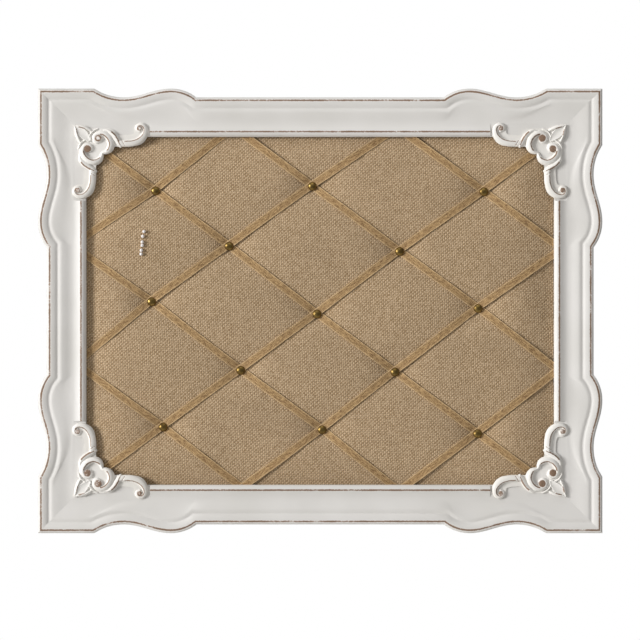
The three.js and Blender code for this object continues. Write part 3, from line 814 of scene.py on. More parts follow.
@dataclass
class CarvedFrame:
    """Four mitred rails with a wavy outer edge, a moulding along it and a bead round the opening."""

    square: float = 71.0  # along a rail from its corner, where the outline leaves the straight
    hollow: float = 108.0  # deepest place of the hollow
    crest: float = 167.5  # top of the wave
    end: float = 200.0  # where the wave ends
    depth: float = 11.0
    fold: float = 8.0  # stations keep this far from the outline's outer corner
    rear: float = 3.0
    lip: float = 17.5  # height of the lip over the panel
    rabbet: float = 12.5
    mitre_gap: float = 0.01
    bead_start: float = 115.0
    seat: float = 23.0  # height under a corner carving, where the bead is left off
    ease: float = 1.2  # the rear arrises are taken off by this much
    arris: float = 4.0  # the rubbed line's place on the outer moulding
    arris_half: float = 1.5
    crest_line: float = 6.4  # and on the bead, from the sight edge
    crest_half: float = 1.5
    worn: float = 0.9  # how strongly the outer line is rubbed
    crest_worn: Point = (0.25, 22.0)  # how much more at the wave's top, and how far from it that reaches
    corner_worn: Point = (0.2, 16.0)  # and at the corner
    # How finely a rail is laid out: points across, stations along.
    outer_points: int = 60
    field_points: int = 14
    bead_points: int = 52
    corner_stations: int = 6
    plain_stations: int = 14
    wave_step: float = 2.0
    bead_run: float = 0.8  # length over which the bead rises
    # Moulding along the outline: inwards from it, height.
    outer: tuple[Point, ...] = (
        (0, 22.8), (1.3, 25.4), (3.6, 26.2), (5.6, 26.4), (7.5, 26.2), (9.5, 25.8), (11.2, 25.3),
        (12.6, 24.7), (13.6, 24.4), (14.6, 24.4), (16.2, 24.8), (17.6, 25.05), (19, 25.1),
    )
    # Field between the two: on a scale of 20 across, height.
    field: tuple[Point, ...] = (
        (0, 25.1), (3, 24.75), (6, 24.3), (9.5, 23.7), (12.5, 23.3), (15.5, 23.1), (18, 23.15), (20, 23.35),
    )
    # Bead: outwards from the sight edge, height.
    bead: tuple[Point, ...] = (
        (14.6, 23.35), (12.8, 23.75), (11, 24.3), (9.2, 24.95), (7.6, 25.6), (6.5, 25.95), (5, 25.9),
        (3.4, 25.4), (1.7, 24.4), (0, 22.2),
    )

    def level(self, t: np.ndarray) -> np.ndarray:
        """How far the outline lies inside the line between two corners, t along a rail from one."""

        def sagitta(span: float, reach: np.ndarray) -> np.ndarray:
            """The fall of an arc that falls by the wave's depth over span."""
            radius = (span**2 + self.depth**2) / (2 * self.depth)
            return radius - np.sqrt(radius**2 - np.clip(reach, 0, span) ** 2)

        swing = np.cos(math.pi * (t - self.hollow) / (self.crest - self.hollow))
        places = [t <= self.square, t < self.hollow, t < self.crest, t < self.end]
        levels = [
            np.zeros_like(t),
            self.depth - sagitta(self.hollow - self.square, self.hollow - t),
            self.depth * (1 + swing) / 2,
            sagitta(self.end - self.crest, t - self.crest),
        ]
        return np.select(places, levels, self.depth)

    def inward(self, t: np.ndarray) -> np.ndarray:
        """The step along and across for each millimetre of moulding, mitred where the outline turns."""
        reach = 0.01
        here = self.level(t)
        slopes = [(here - self.level(t - reach)) / reach, (self.level(t + reach) - here) / reach]
        before, after = [np.stack([-s, np.ones_like(s)], axis=1) / np.hypot(s, 1)[:, None] for s in slopes]
        return (before + after) / (1 + (before * after).sum(axis=1, keepdims=True))

    def stations(self, half_length: float) -> np.ndarray:
        """Places of the cross-sections from the corner to the middle of a rail."""
        wave = np.arange(self.square + self.fold, self.end, self.wave_step)
        bead_step = [self.bead_start, self.bead_start + self.bead_run]
        plain = np.linspace(self.end, half_length, self.plain_stations)[:-1]
        straight = np.linspace(0, self.square, self.corner_stations)
        return np.unique(np.concatenate([straight, wave, bead_step, plain]))

    def sections(self, t: np.ndarray) -> tuple[np.ndarray, np.ndarray, np.ndarray]:
        """Works out the cross-sections at the given stations.

        Args:
            t: Distances along the rail from its corner, the first one 0.

        Returns:
            Along, across and height of each point, stations by points, then wear and raw marks alike.
        """
        outer = through(self.outer, self.outer_points)
        field = through(self.field, self.field_points)[1:-1]
        bead = through(self.bead, self.bead_points)
        ease, rear, rabbet = self.ease, self.rear, self.rabbet
        rim_back = np.array([(ease, rear), (0, rear + ease)])
        sight_back = np.array(
            [(0, self.lip), (rabbet, self.lip), (rabbet, rear + ease), (rabbet + ease, rear)]
        )
        from_outline = np.concatenate([rim_back, outer])
        from_sight = np.concatenate([bead, sight_back])
        mitre = t == 0
        step = np.where(mitre[:, None], 1.0, self.inward(t))
        shift = np.where(mitre, self.mitre_gap, 0.0)
        inner_t = np.where(t < self.end, RIM + t / self.end * (self.end - RIM), t)

        def laid(along: np.ndarray, across: np.ndarray, heights: np.ndarray) -> np.ndarray:
            """Puts three tables together as points."""
            shape = np.broadcast_shapes(along.shape, across.shape, heights.shape)
            return np.stack([np.broadcast_to(part, shape) for part in (along, across, heights)], axis=-1)

        s, r = from_outline[:, 0], from_sight[:, 0]
        along = (t + shift)[:, None] + step[:, :1] * s
        first = laid(along, self.level(t)[:, None] + step[:, 1:] * s, from_outline[:, 1])
        bead_on = (t > self.bead_start)[:, None] | (from_sight[:, 1] < self.seat)
        heights = np.where(bead_on, from_sight[:, 1], self.seat)
        last = laid((inner_t + shift)[:, None] - mitre[:, None] * r, RIM - r, heights)
        part = (field[:, 0] / self.field[-1][0])[None, :, None]
        middle = first[:, -1:] * (1 - part) + last[:, :1] * part
        middle[..., 2] = field[:, 1]
        rings = np.concatenate([first, middle, last], axis=1)
        straight = t <= self.square  # up to where the outline leaves the straight, a rail is straight
        share = (t[straight] / self.square)[:, None, None]
        corner = np.flatnonzero(straight)[-1]
        rings[straight] = rings[0] * (1 - share) + rings[corner] * share

        def rubbed(places: np.ndarray, line: float, half: float) -> np.ndarray:
            """1 along a rubbed line, easing to 0 at half its width."""
            return np.clip(1.5 - 1.5 * np.abs(places - line) / half, 0, 1)

        outer_wear = rubbed(s, self.arris, self.arris_half)
        inner_wear = rubbed(r, self.crest_line, self.crest_half)
        outer_wear[: len(rim_back)] = inner_wear[-len(sight_back) :] = 0
        boost = np.full_like(t, self.worn)
        for worst, (more, reach) in ((self.crest, self.crest_worn), (0, self.corner_worn)):
            boost = boost + more * np.exp(-(((t - worst) / reach) ** 2))
        wear = np.concatenate(
            [
                boost[:, None] * outer_wear,
                np.zeros((len(t), len(field))),
                np.where((t > self.bead_start)[:, None], inner_wear, 0) * np.ones((len(t), 1)),
            ],
            axis=1,
        )
        raw = np.zeros_like(wear)
        raw[:, 0] = raw[:, -3:] = 1  # the rear and the rabbet's walls
        return rings, wear, raw

    def rail(self, side: Side) -> bpy.types.Object:
        """Makes one rail.

        Args:
            side: Which of the four.

        Returns:
            The closed piece, in place.
        """
        name, turns = side.value
        half_length, half_across = np.array([FRAME_WIDTH, FRAME_HEIGHT])[:: -1 if turns % 2 else 1] / 2
        rings, wear, raw = self.sections(self.stations(half_length))
        left = np.stack([rings[..., 0] - half_length, rings[..., 2], half_across - rings[..., 1]], axis=-1)
        right = left[::-1] * (-1, 1, 1)
        points = quarter_turned(np.concatenate([left, right]), turns)
        marks = {"wear": np.concatenate([wear, wear[::-1]]), "raw": np.concatenate([raw, raw[::-1]])}
        closed = {mark: np.concatenate([values, values[:, :1]], axis=1) for mark, values in marks.items()}
        piece = grid_piece(name + "_carved", np.concatenate([points, points[:, :1]], axis=1), closed)
        return close_up(piece)

    def build(self) -> None:
        """Makes and fits the four rails."""
        for side in Side:
            paint = STILE_PAINT if side.value[1] % 2 else PAINT
            fit(self.rail(side), paint, side.value[0], crease=30)


@dataclass(frozen=True)
class Scroll:
    """One carved stroke: a roll outside its crest line, a hollow inside it, and the line rubbed."""

    stroke: Stroke
    rise: float  # the crest's height over the base
    crest: float  # the crest line's place across the stroke, from -1 to 1
    fall: float  # how far inside the crest line the hollow reaches
    rubbed: Point = UNIT  # where along the stroke the crest line is rubbed
    line: float = 1.0  # half the rubbed line's width
    worn: float = 0.0  # how strongly it is rubbed


@dataclass(frozen=True)
class Eye:
    """The knob in the middle of a volute."""

    u: float
    v: float
    radius: float
    dome: float  # its height over the base
    worn: float  # how strongly it is rubbed


@dataclass
class CornerCarving:
    """The scrolled carving that covers each mitre: a bud between two C-scrolls, each with a leaf and a tail.

    Strokes run from the sight corner, u along the top and v down the side, as [u, v, width]. Only the top
    arm is listed, since the side arm is the same with u and v exchanged.
    """

    base: float = 22.9
    foot: float = 22.3  # its underside, let into the field
    plate: float = 24.3
    cell: float = 0.4
    span: Point = (-20.0, 82.0)  # what the grid of cells covers, both ways
    smoothing: int = 2  # how often the heights are smoothed
    blur: float = 0.1  # how much each of four neighbours counts in that
    margin: float = 0.5  # how far outside the outline a vertex is kept, in cells
    rim_reach: float = 0.8  # and how far one on the rim moves onto the outline
    flattest: float = 0.2  # least square of a slope that this is worked out from
    stroke_points: int = 160
    plate_points: int = 140
    lots: int = 32  # places are measured in this many lots, to save memory
    narrow: float = 0.45  # height of a stroke's narrowest place, as part of its rise
    shoulder: float = 0.3  # height of its outer edge, the same
    hidden: float = 0.25  # a rubbed line shows unless its scroll lies this far under another
    c_scroll: Scroll = Scroll(
        (
            (21.1, 20.6, 3.1), (25.9, 19.1, 5.7), (29.7, 15.4, 7.6), (31.4, 8.6, 8.4), (28.6, 1.2, 8.8),
            (22.6, -3.6, 8), (15.8, -4.4, 6.4), (10.6, -1, 5.2), (10.4, 4.6, 4.4), (13.9, 7.2, 3.8),
            (18, 5.4, 3),
        ),
        rise=6.0, crest=0.42, fall=5.0, rubbed=(0.1, 0.62), line=0.75, worn=1.15,
    )
    tail: Scroll = Scroll(
        (
            (42.2, 8.7, 7.6), (50.3, 8.7, 8.1), (59.3, 7.9, 8.1), (68, 4.3, 7.8), (74, -2.5, 7),
            (74.8, -10.3, 5.5), (70.7, -15, 4.5), (64.9, -14.1, 4), (63.7, -9.2, 3.5), (67.2, -6.5, 3),
        ),
        rise=4.9, crest=0.68, fall=4.5, rubbed=(0.1, 0.97), line=0.6, worn=1.0,
    )
    leaf: Scroll = Scroll(
        (
            (22.5, -7.6, 2.4), (27, -7.6, 5), (31.4, -5.6, 7.6), (35.6, -1.6, 8.6), (39.2, 3.8, 8.4),
            (41.8, 8.8, 6.8), (43.5, 11.9, 4.2),
        ),
        rise=5.3, crest=0.2, fall=3.6, rubbed=(0.3, 0.95), line=0.9, worn=1.2,
    )
    side_petal: Scroll = Scroll(
        ((6.2, -7.6, 3), (2.6, -9.6, 4.4), (-2.6, -11.6, 4.6), (-8.6, -13, 3.6), (-13.4, -14.1, 1.6)),
        rise=4.4, crest=0.4, fall=1.4, rubbed=(0.4, 0.8), line=0.7, worn=0.8,
    )
    sepal: Scroll = Scroll(
        ((4.2, 3.6, 1.6), (4.2, -0.8, 2.6), (6.4, -5.2, 3.2), (10.4, -8.4, 3.2), (14.6, -9.8, 2)),
        rise=3.9, crest=0.0, fall=1.4,
    )
    mid_petal: Stroke = ((3.1, 3.1, 6.5), (-3.1, -3.1, 11.6), (-8.2, -8.2, 10), (-13.8, -13.8, 3))
    mid_rise: Point = (2.4, 1.1)  # its height along the middle, and how much more at its edges
    crease: Stroke = ((44.8, 4.4, 1), (46.8, 8, 1), (48.8, 10.8, 1))
    crease_half: float = 0.6
    crease_depth: float = 0.5
    # how dark the crease is painted, on the wear scale, as painted shade in the groove
    crease_painted_shade: float = 0.6
    plate_edge: tuple[Point, ...] = (
        (-14.5, -14.5), (-8, -14.7), (-2.2, -13.8), (3.2, -11.8), (9.4, -10.2), (15.7, -10.4), (24.5, -9.8),
        (32.1, -7.3), (37.8, -3.6), (42.8, -1.8), (49.1, -2), (55.4, -2.6), (60.2, -4.6), (60.6, -10.1),
        (63.5, -15.6), (69.9, -17.6), (75.9, -13.9), (78.2, -6.3), (76.4, 1.3), (71.4, 7.9), (62.9, 11.4),
        (50.3, 12), (45.9, 12.2), (41, 12.6), (36.2, 12.6), (34.6, 16), (31.2, 20), (26.4, 21.8),
        (21.5, 21.5),
    )
    eyes: tuple[Eye, ...] = (Eye(15.3, 1.9, 4.6, 4.9, 0.85), Eye(67.6, -10.3, 2.9, 3.9, 0.72))
    eye_crown: float = 0.15  # how far an eye is domed, as part of its height
    eye_floor: float = 0.4  # how much is left of a scroll's height under it
    ring: Point = (0.7, 0.28)  # a rubbed ring's place and half width, as parts of the radius
    disc: Point = (5.8, 5.4)  # a bare disc is full inside 4.8 / 5.4 of the radius, and gone at 5.8 / 5.4

    def measured(
        self, stroke: Stroke, u: np.ndarray, v: np.ndarray
    ) -> tuple[np.ndarray, np.ndarray, np.ndarray]:
        """Measures a grid of places against a stroke.

        Args:
            stroke: The stroke's [u, v, width].
            u: The places, along the top.
            v: The places, down the side.

        Returns:
            Distance from the stroke's middle line, positive on its inner side, the half width there, and
            how far along the stroke that is, from 0 to 1.
        """
        line = through(stroke, self.stroke_points)
        ahead = np.gradient(line[:, :2], axis=0)
        ahead /= np.linalg.norm(ahead, axis=1, keepdims=True)
        places = np.stack([u.ravel(), v.ravel()], axis=1)
        nearest = np.concatenate(
            [
                ((lot[:, None, :] - line[None, :, :2]) ** 2).sum(axis=2).argmin(axis=1)
                for lot in np.array_split(places, self.lots)
            ]
        )
        offset = places - line[nearest, :2]
        inner = offset[:, 0] * ahead[nearest, 1] - offset[:, 1] * ahead[nearest, 0]
        distance = np.linalg.norm(offset, axis=1) * np.where(inner < 0, -1, 1)
        share = nearest / (len(line) - 1)
        return distance.reshape(u.shape), line[nearest, 2].reshape(u.shape) / 2, share.reshape(u.shape)

    def rolled(self, q: np.ndarray, crest: float) -> np.ndarray:
        """A roll's height from its shoulder at its outer edge, q = -1, up to its crest."""
        bulge = np.sqrt(np.clip(1 - ((crest - q) / (crest + 1)) ** 2, 0, 1))
        return self.shoulder + (1 - self.shoulder) * bulge

    @staticmethod
    def beside(away: np.ndarray, half: float, reach: float) -> np.ndarray:
        """1 near a line, easing to 0 at so many of its half widths away."""
        return np.clip(reach - away / half, 0, 1)

    def carved(
        self, scroll: Scroll, u: np.ndarray, v: np.ndarray
    ) -> tuple[np.ndarray, np.ndarray, np.ndarray]:
        """Carves one scroll.

        Args:
            scroll: The scroll.
            u: The places, along the top.
            v: The places, down the side.

        Returns:
            Height over the base, how far inside the stroke's edge a place is, and the distance from the
            crest line where that is rubbed.
        """
        distance, half, share = self.measured(scroll.stroke, u, v)
        widest = max(point[2] for point in scroll.stroke) / 2
        top = scroll.rise * (self.narrow + (1 - self.narrow) * half / widest)
        beyond = (distance - scroll.crest * half) / scroll.fall
        hollow = np.clip(1 - beyond, 0, 1) ** 2
        height = np.where(beyond < 0, self.rolled(distance / half, scroll.crest), hollow) * top
        height = np.where(distance < -half, 0, height)
        whole = (share < scroll.rubbed[0]) | (share > scroll.rubbed[1])
        on_line = np.where(whole, np.inf, np.abs(distance - scroll.crest * half))
        return height, half - np.abs(distance), on_line

    def arm(self, u: np.ndarray, v: np.ndarray) -> tuple[np.ndarray, ...]:
        """Carves one arm: C-scroll, tail, leaf, side petal and sepal.

        Args:
            u: The places, along the arm.
            v: The places, square to it.

        Returns:
            Height over the base, how far inside the outline a place is, and wear with the crease's painted
            shade, first with the volutes' eyes rubbed round them only, then with the eyes rubbed bare.
        """
        scrolls = (self.c_scroll, self.tail, self.leaf, self.side_petal, self.sepal)
        heights, insides, lines = zip(*[self.carved(scroll, u, v) for scroll in scrolls])
        groove = self.beside(np.abs(self.measured(self.crease, u, v)[0]), self.crease_half, reach=1.3)
        height = np.maximum.reduce(heights) - self.crease_depth * groove
        # painted shade: the crease's groove is painted darker with the wear colours
        wear = groove * self.crease_painted_shade
        for scroll, own, line in zip(scrolls, heights, lines):
            here = self.beside(line, scroll.line, reach=1.4) * scroll.worn
            wear = np.maximum(wear, np.where(own > height - self.hidden, here, 0))
        bare = wear
        for eye in self.eyes:
            away = np.hypot(u - eye.u, v - eye.v)
            bulb = np.sqrt(np.clip(1 - (away / eye.radius) ** 2, 0, 1))
            knob = eye.dome * (1 - self.eye_crown + self.eye_crown * bulb)
            height = np.where(away < eye.radius, np.maximum(height * self.eye_floor, knob), height)
            from_ring = np.abs(away - self.ring[0] * eye.radius)
            ring = self.beside(from_ring, self.ring[1] * eye.radius, reach=1.3)
            disc = np.clip(self.disc[0] - self.disc[1] * away / eye.radius, 0, 1)
            wear, bare = np.maximum(wear, ring * eye.worn), np.maximum(bare, disc * eye.worn)
        return height, np.maximum.reduce(insides), wear, bare

    def plate_inside(self, u: np.ndarray, v: np.ndarray) -> np.ndarray:
        """How far inside the plate's outline a place is, in millimetres; negative outside it."""
        half = through(self.plate_edge, self.plate_points)
        edge = np.concatenate([half, half[-2:0:-1, ::-1]])
        places = np.stack([u, v], axis=-1)
        nearest = np.full(u.shape, np.inf)
        crossings = np.zeros(u.shape, int)
        for a, b in zip(edge, np.roll(edge, -1, axis=0)):
            along = b - a
            part = np.clip(((places - a) @ along) / (along @ along), 0, 1)
            nearest = np.minimum(nearest, np.linalg.norm(places - a - part[..., None] * along, axis=-1))
            if a[1] != b[1]:
                at_u = a[0] + (v - a[1]) / (b[1] - a[1]) * (b[0] - a[0])
                crossings += ((a[1] > v) != (b[1] > v)) & (u < at_u)
        return np.where(crossings % 2 == 1, nearest, -nearest)

    def relief(self, u: np.ndarray, v: np.ndarray) -> tuple[np.ndarray, ...]:
        """Carves both arms and the middle petal.

        Args:
            u: The places, along the top.
            v: The places, down the side.

        Returns:
            Height over the base, how far inside the outline a place is, and wear with the creases' painted
            shade, first with only the side arm's eyes rubbed bare, then with both arms'.
        """
        top_height, top_inside, top_wear, top_bare = self.arm(u, v)
        side_height, side_inside, _, side_bare = self.arm(v, u)
        middle, half, _ = self.measured(self.mid_petal, u, v)
        mid_inside = half - np.abs(middle)
        low, more = self.mid_rise
        mid_height = np.where(mid_inside > 0, low + more * (middle / half) ** 2, 0)
        flat = np.full_like(u, self.plate - self.base)
        height = np.maximum.reduce([top_height, side_height, mid_height, flat])
        inside = np.maximum.reduce([top_inside, side_inside, mid_inside, self.plate_inside(u, v)])
        return height, inside, np.maximum(top_wear, side_bare), np.maximum(top_bare, side_bare)

    @staticmethod
    def neighbours(padded: np.ndarray) -> list[np.ndarray]:
        """The four neighbours of each cell of a grid that has been padded by one."""
        return [padded[:-2, 1:-1], padded[2:, 1:-1], padded[1:-1, :-2], padded[1:-1, 2:]]

    @staticmethod
    def without_holes(kept: np.ndarray) -> np.ndarray:
        """Fills a mask's holes, by spreading in from the grid's edge over what isn't kept."""
        shut = np.pad(~kept, 1, constant_values=True)
        outside = np.zeros_like(shut)
        outside[0] = True
        while True:
            spread = outside.copy()
            spread[1:] |= outside[:-1]
            spread[:-1] |= outside[1:]
            spread[:, 1:] |= outside[:, :-1]
            spread[:, :-1] |= outside[:, 1:]
            spread &= shut
            if (spread == outside).all():
                return ~outside[1:-1, 1:-1]
            outside = spread

    def pattern(self) -> bpy.types.Object:
        """Carves the pattern piece, with its sight corner at the origin, as it lies at the top left.

        Returns:
            The closed piece, with its wear and the creases' painted shade in two marks: wear, and bare where
            both arms' eyes are rubbed bare.
        """
        line = np.arange(*self.span, self.cell)
        v, u = np.meshgrid(line, line, indexing="ij")
        height, inside, wear, bare = self.relief(u, v)
        for _ in range(self.smoothing):
            around = sum(self.neighbours(np.pad(height, 1, mode="edge")))
            height = height * (1 - 4 * self.blur) + around * self.blur
        slope_v, slope_u = np.gradient(inside, self.cell)
        steep = np.maximum(slope_u**2 + slope_v**2, self.flattest)
        kept = self.without_holes(inside > -self.margin * self.cell)
        rim = kept & ~np.logical_and.reduce(self.neighbours(np.pad(kept, 1)))
        reach = self.rim_reach * self.cell
        move = np.where(rim, np.clip(-inside / np.sqrt(steep), -reach, reach) / np.sqrt(steep), 0)
        points = np.stack([u + move * slope_u, self.base + height, -(v + move * slope_v)], axis=-1)
        marks = {"wear": wear, "bare": bare, "kept": kept.astype(float)}
        piece = grid_piece("carving_pattern", points, marks)
        with editing(piece):
            bpy.ops.mesh.select_all(action="DESELECT")
        for vertex, mark in zip(piece.data.vertices, marked(piece, "kept")):
            vertex.select = bool(mark < 0.5)
        bpy.context.tool_settings.mesh_select_mode = (True, False, False)
        pick(piece)
        bpy.ops.object.mode_set(mode="EDIT")
        bpy.ops.mesh.delete(type="VERT")
        bpy.ops.mesh.select_all(action="SELECT")
        bpy.ops.mesh.delete_loose()
        draw_rim_back(self.foot)
        bpy.ops.mesh.fill()
        face_outwards()
        bpy.ops.object.mode_set(mode="OBJECT")
        unmark(piece, "kept")
        return piece

    def build(self) -> None:
        """Carves one corner and fits a copy at each."""
        pattern = self.pattern()
        for corner in Corner:
            name, side_x, side_z, turns = corner.value
            turn = Matrix.Rotation(turns * math.pi / 2, 4, "Y")
            copy = copied(pattern, f"{name}_carving", at(side_x * SIGHT_X, 0, side_z * SIGHT_Z) @ turn)
            if corner is Corner.TOP_LEFT:
                unmark(copy, "bare")
            else:
                unmark(copy, "wear")
                copy.data.attributes["bare"].name = "wear"
            fit(copy, CARVED_PAINT, f"{name}_ornament", crease=50)
        discard(pattern)


@dataclass
class Quilt:
    """How the tapes and nails draw the padding in: heights over the board by tape numbers, whole or part.

    Falling tapes run down to the right and rising ones up to the right; both count from the middle one.
    """

    border: float = 15.2  # at the opening's edge
    outside: float = 15.0  # under the frame's lip
    nail: float = 15.4
    line: float = 0.5  # how far a tape sinks in between nails
    trough: float = 9.0  # how far beside a tape that shows
    from_nail: float = 62.0  # how far along its tapes a nail draws the padding in
    nail_steep: float = 2.6  # and how steeply
    from_frame: float = 55.0  # and how far in from the opening's edge the frame does
    channel: float = 0.028  # half the width of a tape's channel, as part of a step
    reach: int = 4
    step: Point = (102.0, 76.0)
    fold: tuple[float, float, float] = (68.5, -212.0, 58.0)  # a crease's place in the cloth, and its lean
    fold_rise: float = 1.4
    fold_size: Point = (11.0, 3.2)
    weld: float = 0.05  # vertices closer than this become one after a sheet is cut

    def nails(self) -> dict[tuple[int, int], Point]:
        """Each nail's place by falling and rising tape, as the frame has it, found by their order."""
        order = [
            (0, 0), (0, 1), (0, 2), (0, -2), (0, -1), (1, 0), (1, 1), (1, -1), (2, 0), (-2, 0), (-1, 0),
            (-1, 1), (-1, -1),
        ]
        places = {}
        for number, pair in enumerate(order, start=1):
            low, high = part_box(f"nail_{number}")
            middle = (low + high) / 2 / MM
            places[pair] = (middle.x, middle.z)
        return places

    def __post_init__(self) -> None:
        """Lays out the crossings, nailed ones first and then in even steps beyond them."""
        nailed = self.nails()
        span = range(-self.reach, self.reach + 2)
        self.nailed = np.array([[(i, j) in nailed for j in span] for i in span])

        @cache
        def crossing(i: int, j: int) -> Point:
            """Where falling tape i meets rising tape j."""
            if (i, j) in nailed:
                return nailed[i, j]
            found = []
            for di, dj in ((np.sign(i), 0), (0, np.sign(j))):
                if di or dj:
                    x, z = crossing(i - di, j - dj)
                    found.append((x + self.step[0] * (di + dj), z + self.step[1] * (di - dj)))
            return tuple(np.mean(found, axis=0))

        self.crossings = np.array([[crossing(i, j) for j in span] for i in span])

    def place(self, a: np.ndarray, b: np.ndarray) -> np.ndarray:
        """Turns tape numbers into x and z."""
        i, j = np.floor(a).astype(int), np.floor(b).astype(int)
        p, q = (a - i)[..., None], (b - j)[..., None]
        i, j = i + self.reach, j + self.reach
        grid = self.crossings
        near = grid[i, j] * (1 - p) + grid[i + 1, j] * p
        far = grid[i, j + 1] * (1 - p) + grid[i + 1, j + 1] * p
        return near * (1 - q) + far * q

    def height(self, a: np.ndarray, b: np.ndarray, full: float) -> np.ndarray:
        """The cloth's height, drawn in by nails, tapes and frame from its full height between them."""

        def beside(n: np.ndarray) -> np.ndarray:
            """How far a place is from the nearest tape's channel, in millimetres along the other tapes."""
            return np.maximum(np.abs(n - np.round(n)) - self.channel, 0) * math.hypot(*self.step)

        def pull(away: np.ndarray, reach: float, steep: float = 2.0) -> np.ndarray:
            """1 where the padding is held down, easing to 0 at the reach."""
            return np.clip(1 - away / reach, 0, 1) ** steep

        by_a, by_b = beside(a), beside(b)
        i, j = [np.round(n).astype(int) + self.reach for n in (a, b)]
        by_nail = np.where(self.nailed[i, j], pull(by_a + by_b, self.from_nail, self.nail_steep), 0)
        off_tapes = smooth_step(by_a, 0, self.trough) * smooth_step(by_b, 0, self.trough)
        level = full - self.line * (1 - off_tapes)
        x, z = np.moveaxis(self.place(a, b), -1, 0)
        inside_x, inside_z = SIGHT_X - np.abs(x), SIGHT_Z - np.abs(z)
        free = (1 - pull(inside_x, self.from_frame)) * (1 - pull(inside_z, self.from_frame))
        drawn = level - (level - self.nail) * by_nail
        height = self.border + (drawn - self.border) * free
        fold_x, fold_z, lean = self.fold
        turn = math.radians(lean)
        along = (x - fold_x) * math.cos(turn) + (z - fold_z) * math.sin(turn)
        across = (z - fold_z) * math.cos(turn) - (x - fold_x) * math.sin(turn)
        off_fold = (along / self.fold_size[0]) ** 2 + (across / self.fold_size[1]) ** 2
        height = height + self.fold_rise * np.exp(-off_fold)
        return np.where(np.minimum(inside_x, inside_z) <= 0, self.outside, height)

    def lines(self, count: int) -> np.ndarray:
        """Tape numbers of a mesh's lines: each tape's middle and sides, and steps between."""
        between = np.linspace(self.channel, 1 - self.channel, count)
        numbers = [[i, *(i + between)] for i in range(-self.reach, self.reach)]
        return np.append(np.concatenate(numbers), self.reach)

    def sheet(self, name: str, count: int, full: float, drop: float, half: Point) -> bpy.types.Object:
        """Makes the quilted sheet, its lines along the tapes, cut to a rectangle.

        Args:
            name: The piece's name.
            count: How many mesh lines lie between two tapes.
            full: The cloth's height between the tapes.
            drop: How far the sheet lies under the cloth's face.
            half: Half its width and height.

        Returns:
            The open sheet, facing the front, with its tape numbers kept as marks a and b.
        """
        lines = self.lines(count)
        a, b = np.meshgrid(lines, lines, indexing="ij")
        place = self.place(a, b)
        points = np.stack([place[..., 0], self.height(a, b, full) - drop, place[..., 1]], axis=-1)
        piece = grid_piece(name, points, {"a": a, "b": b})
        with editing(piece):
            for x, z in ((1, 0), (-1, 0), (0, 1), (0, -1)):
                edge = Vector((x * half[0], 0, z * half[1])) * MM
                bpy.ops.mesh.select_all(action="SELECT")
                bpy.ops.mesh.bisect(plane_co=edge, plane_no=(x, 0, z), clear_outer=True)
            bpy.ops.mesh.select_all(action="SELECT")
            bpy.ops.mesh.remove_doubles(threshold=self.weld * MM)
            face_outwards()
        if piece.data.polygons[len(piece.data.polygons) // 2].normal.y > 0:
            with editing(piece):
                bpy.ops.mesh.flip_normals()
        return piece


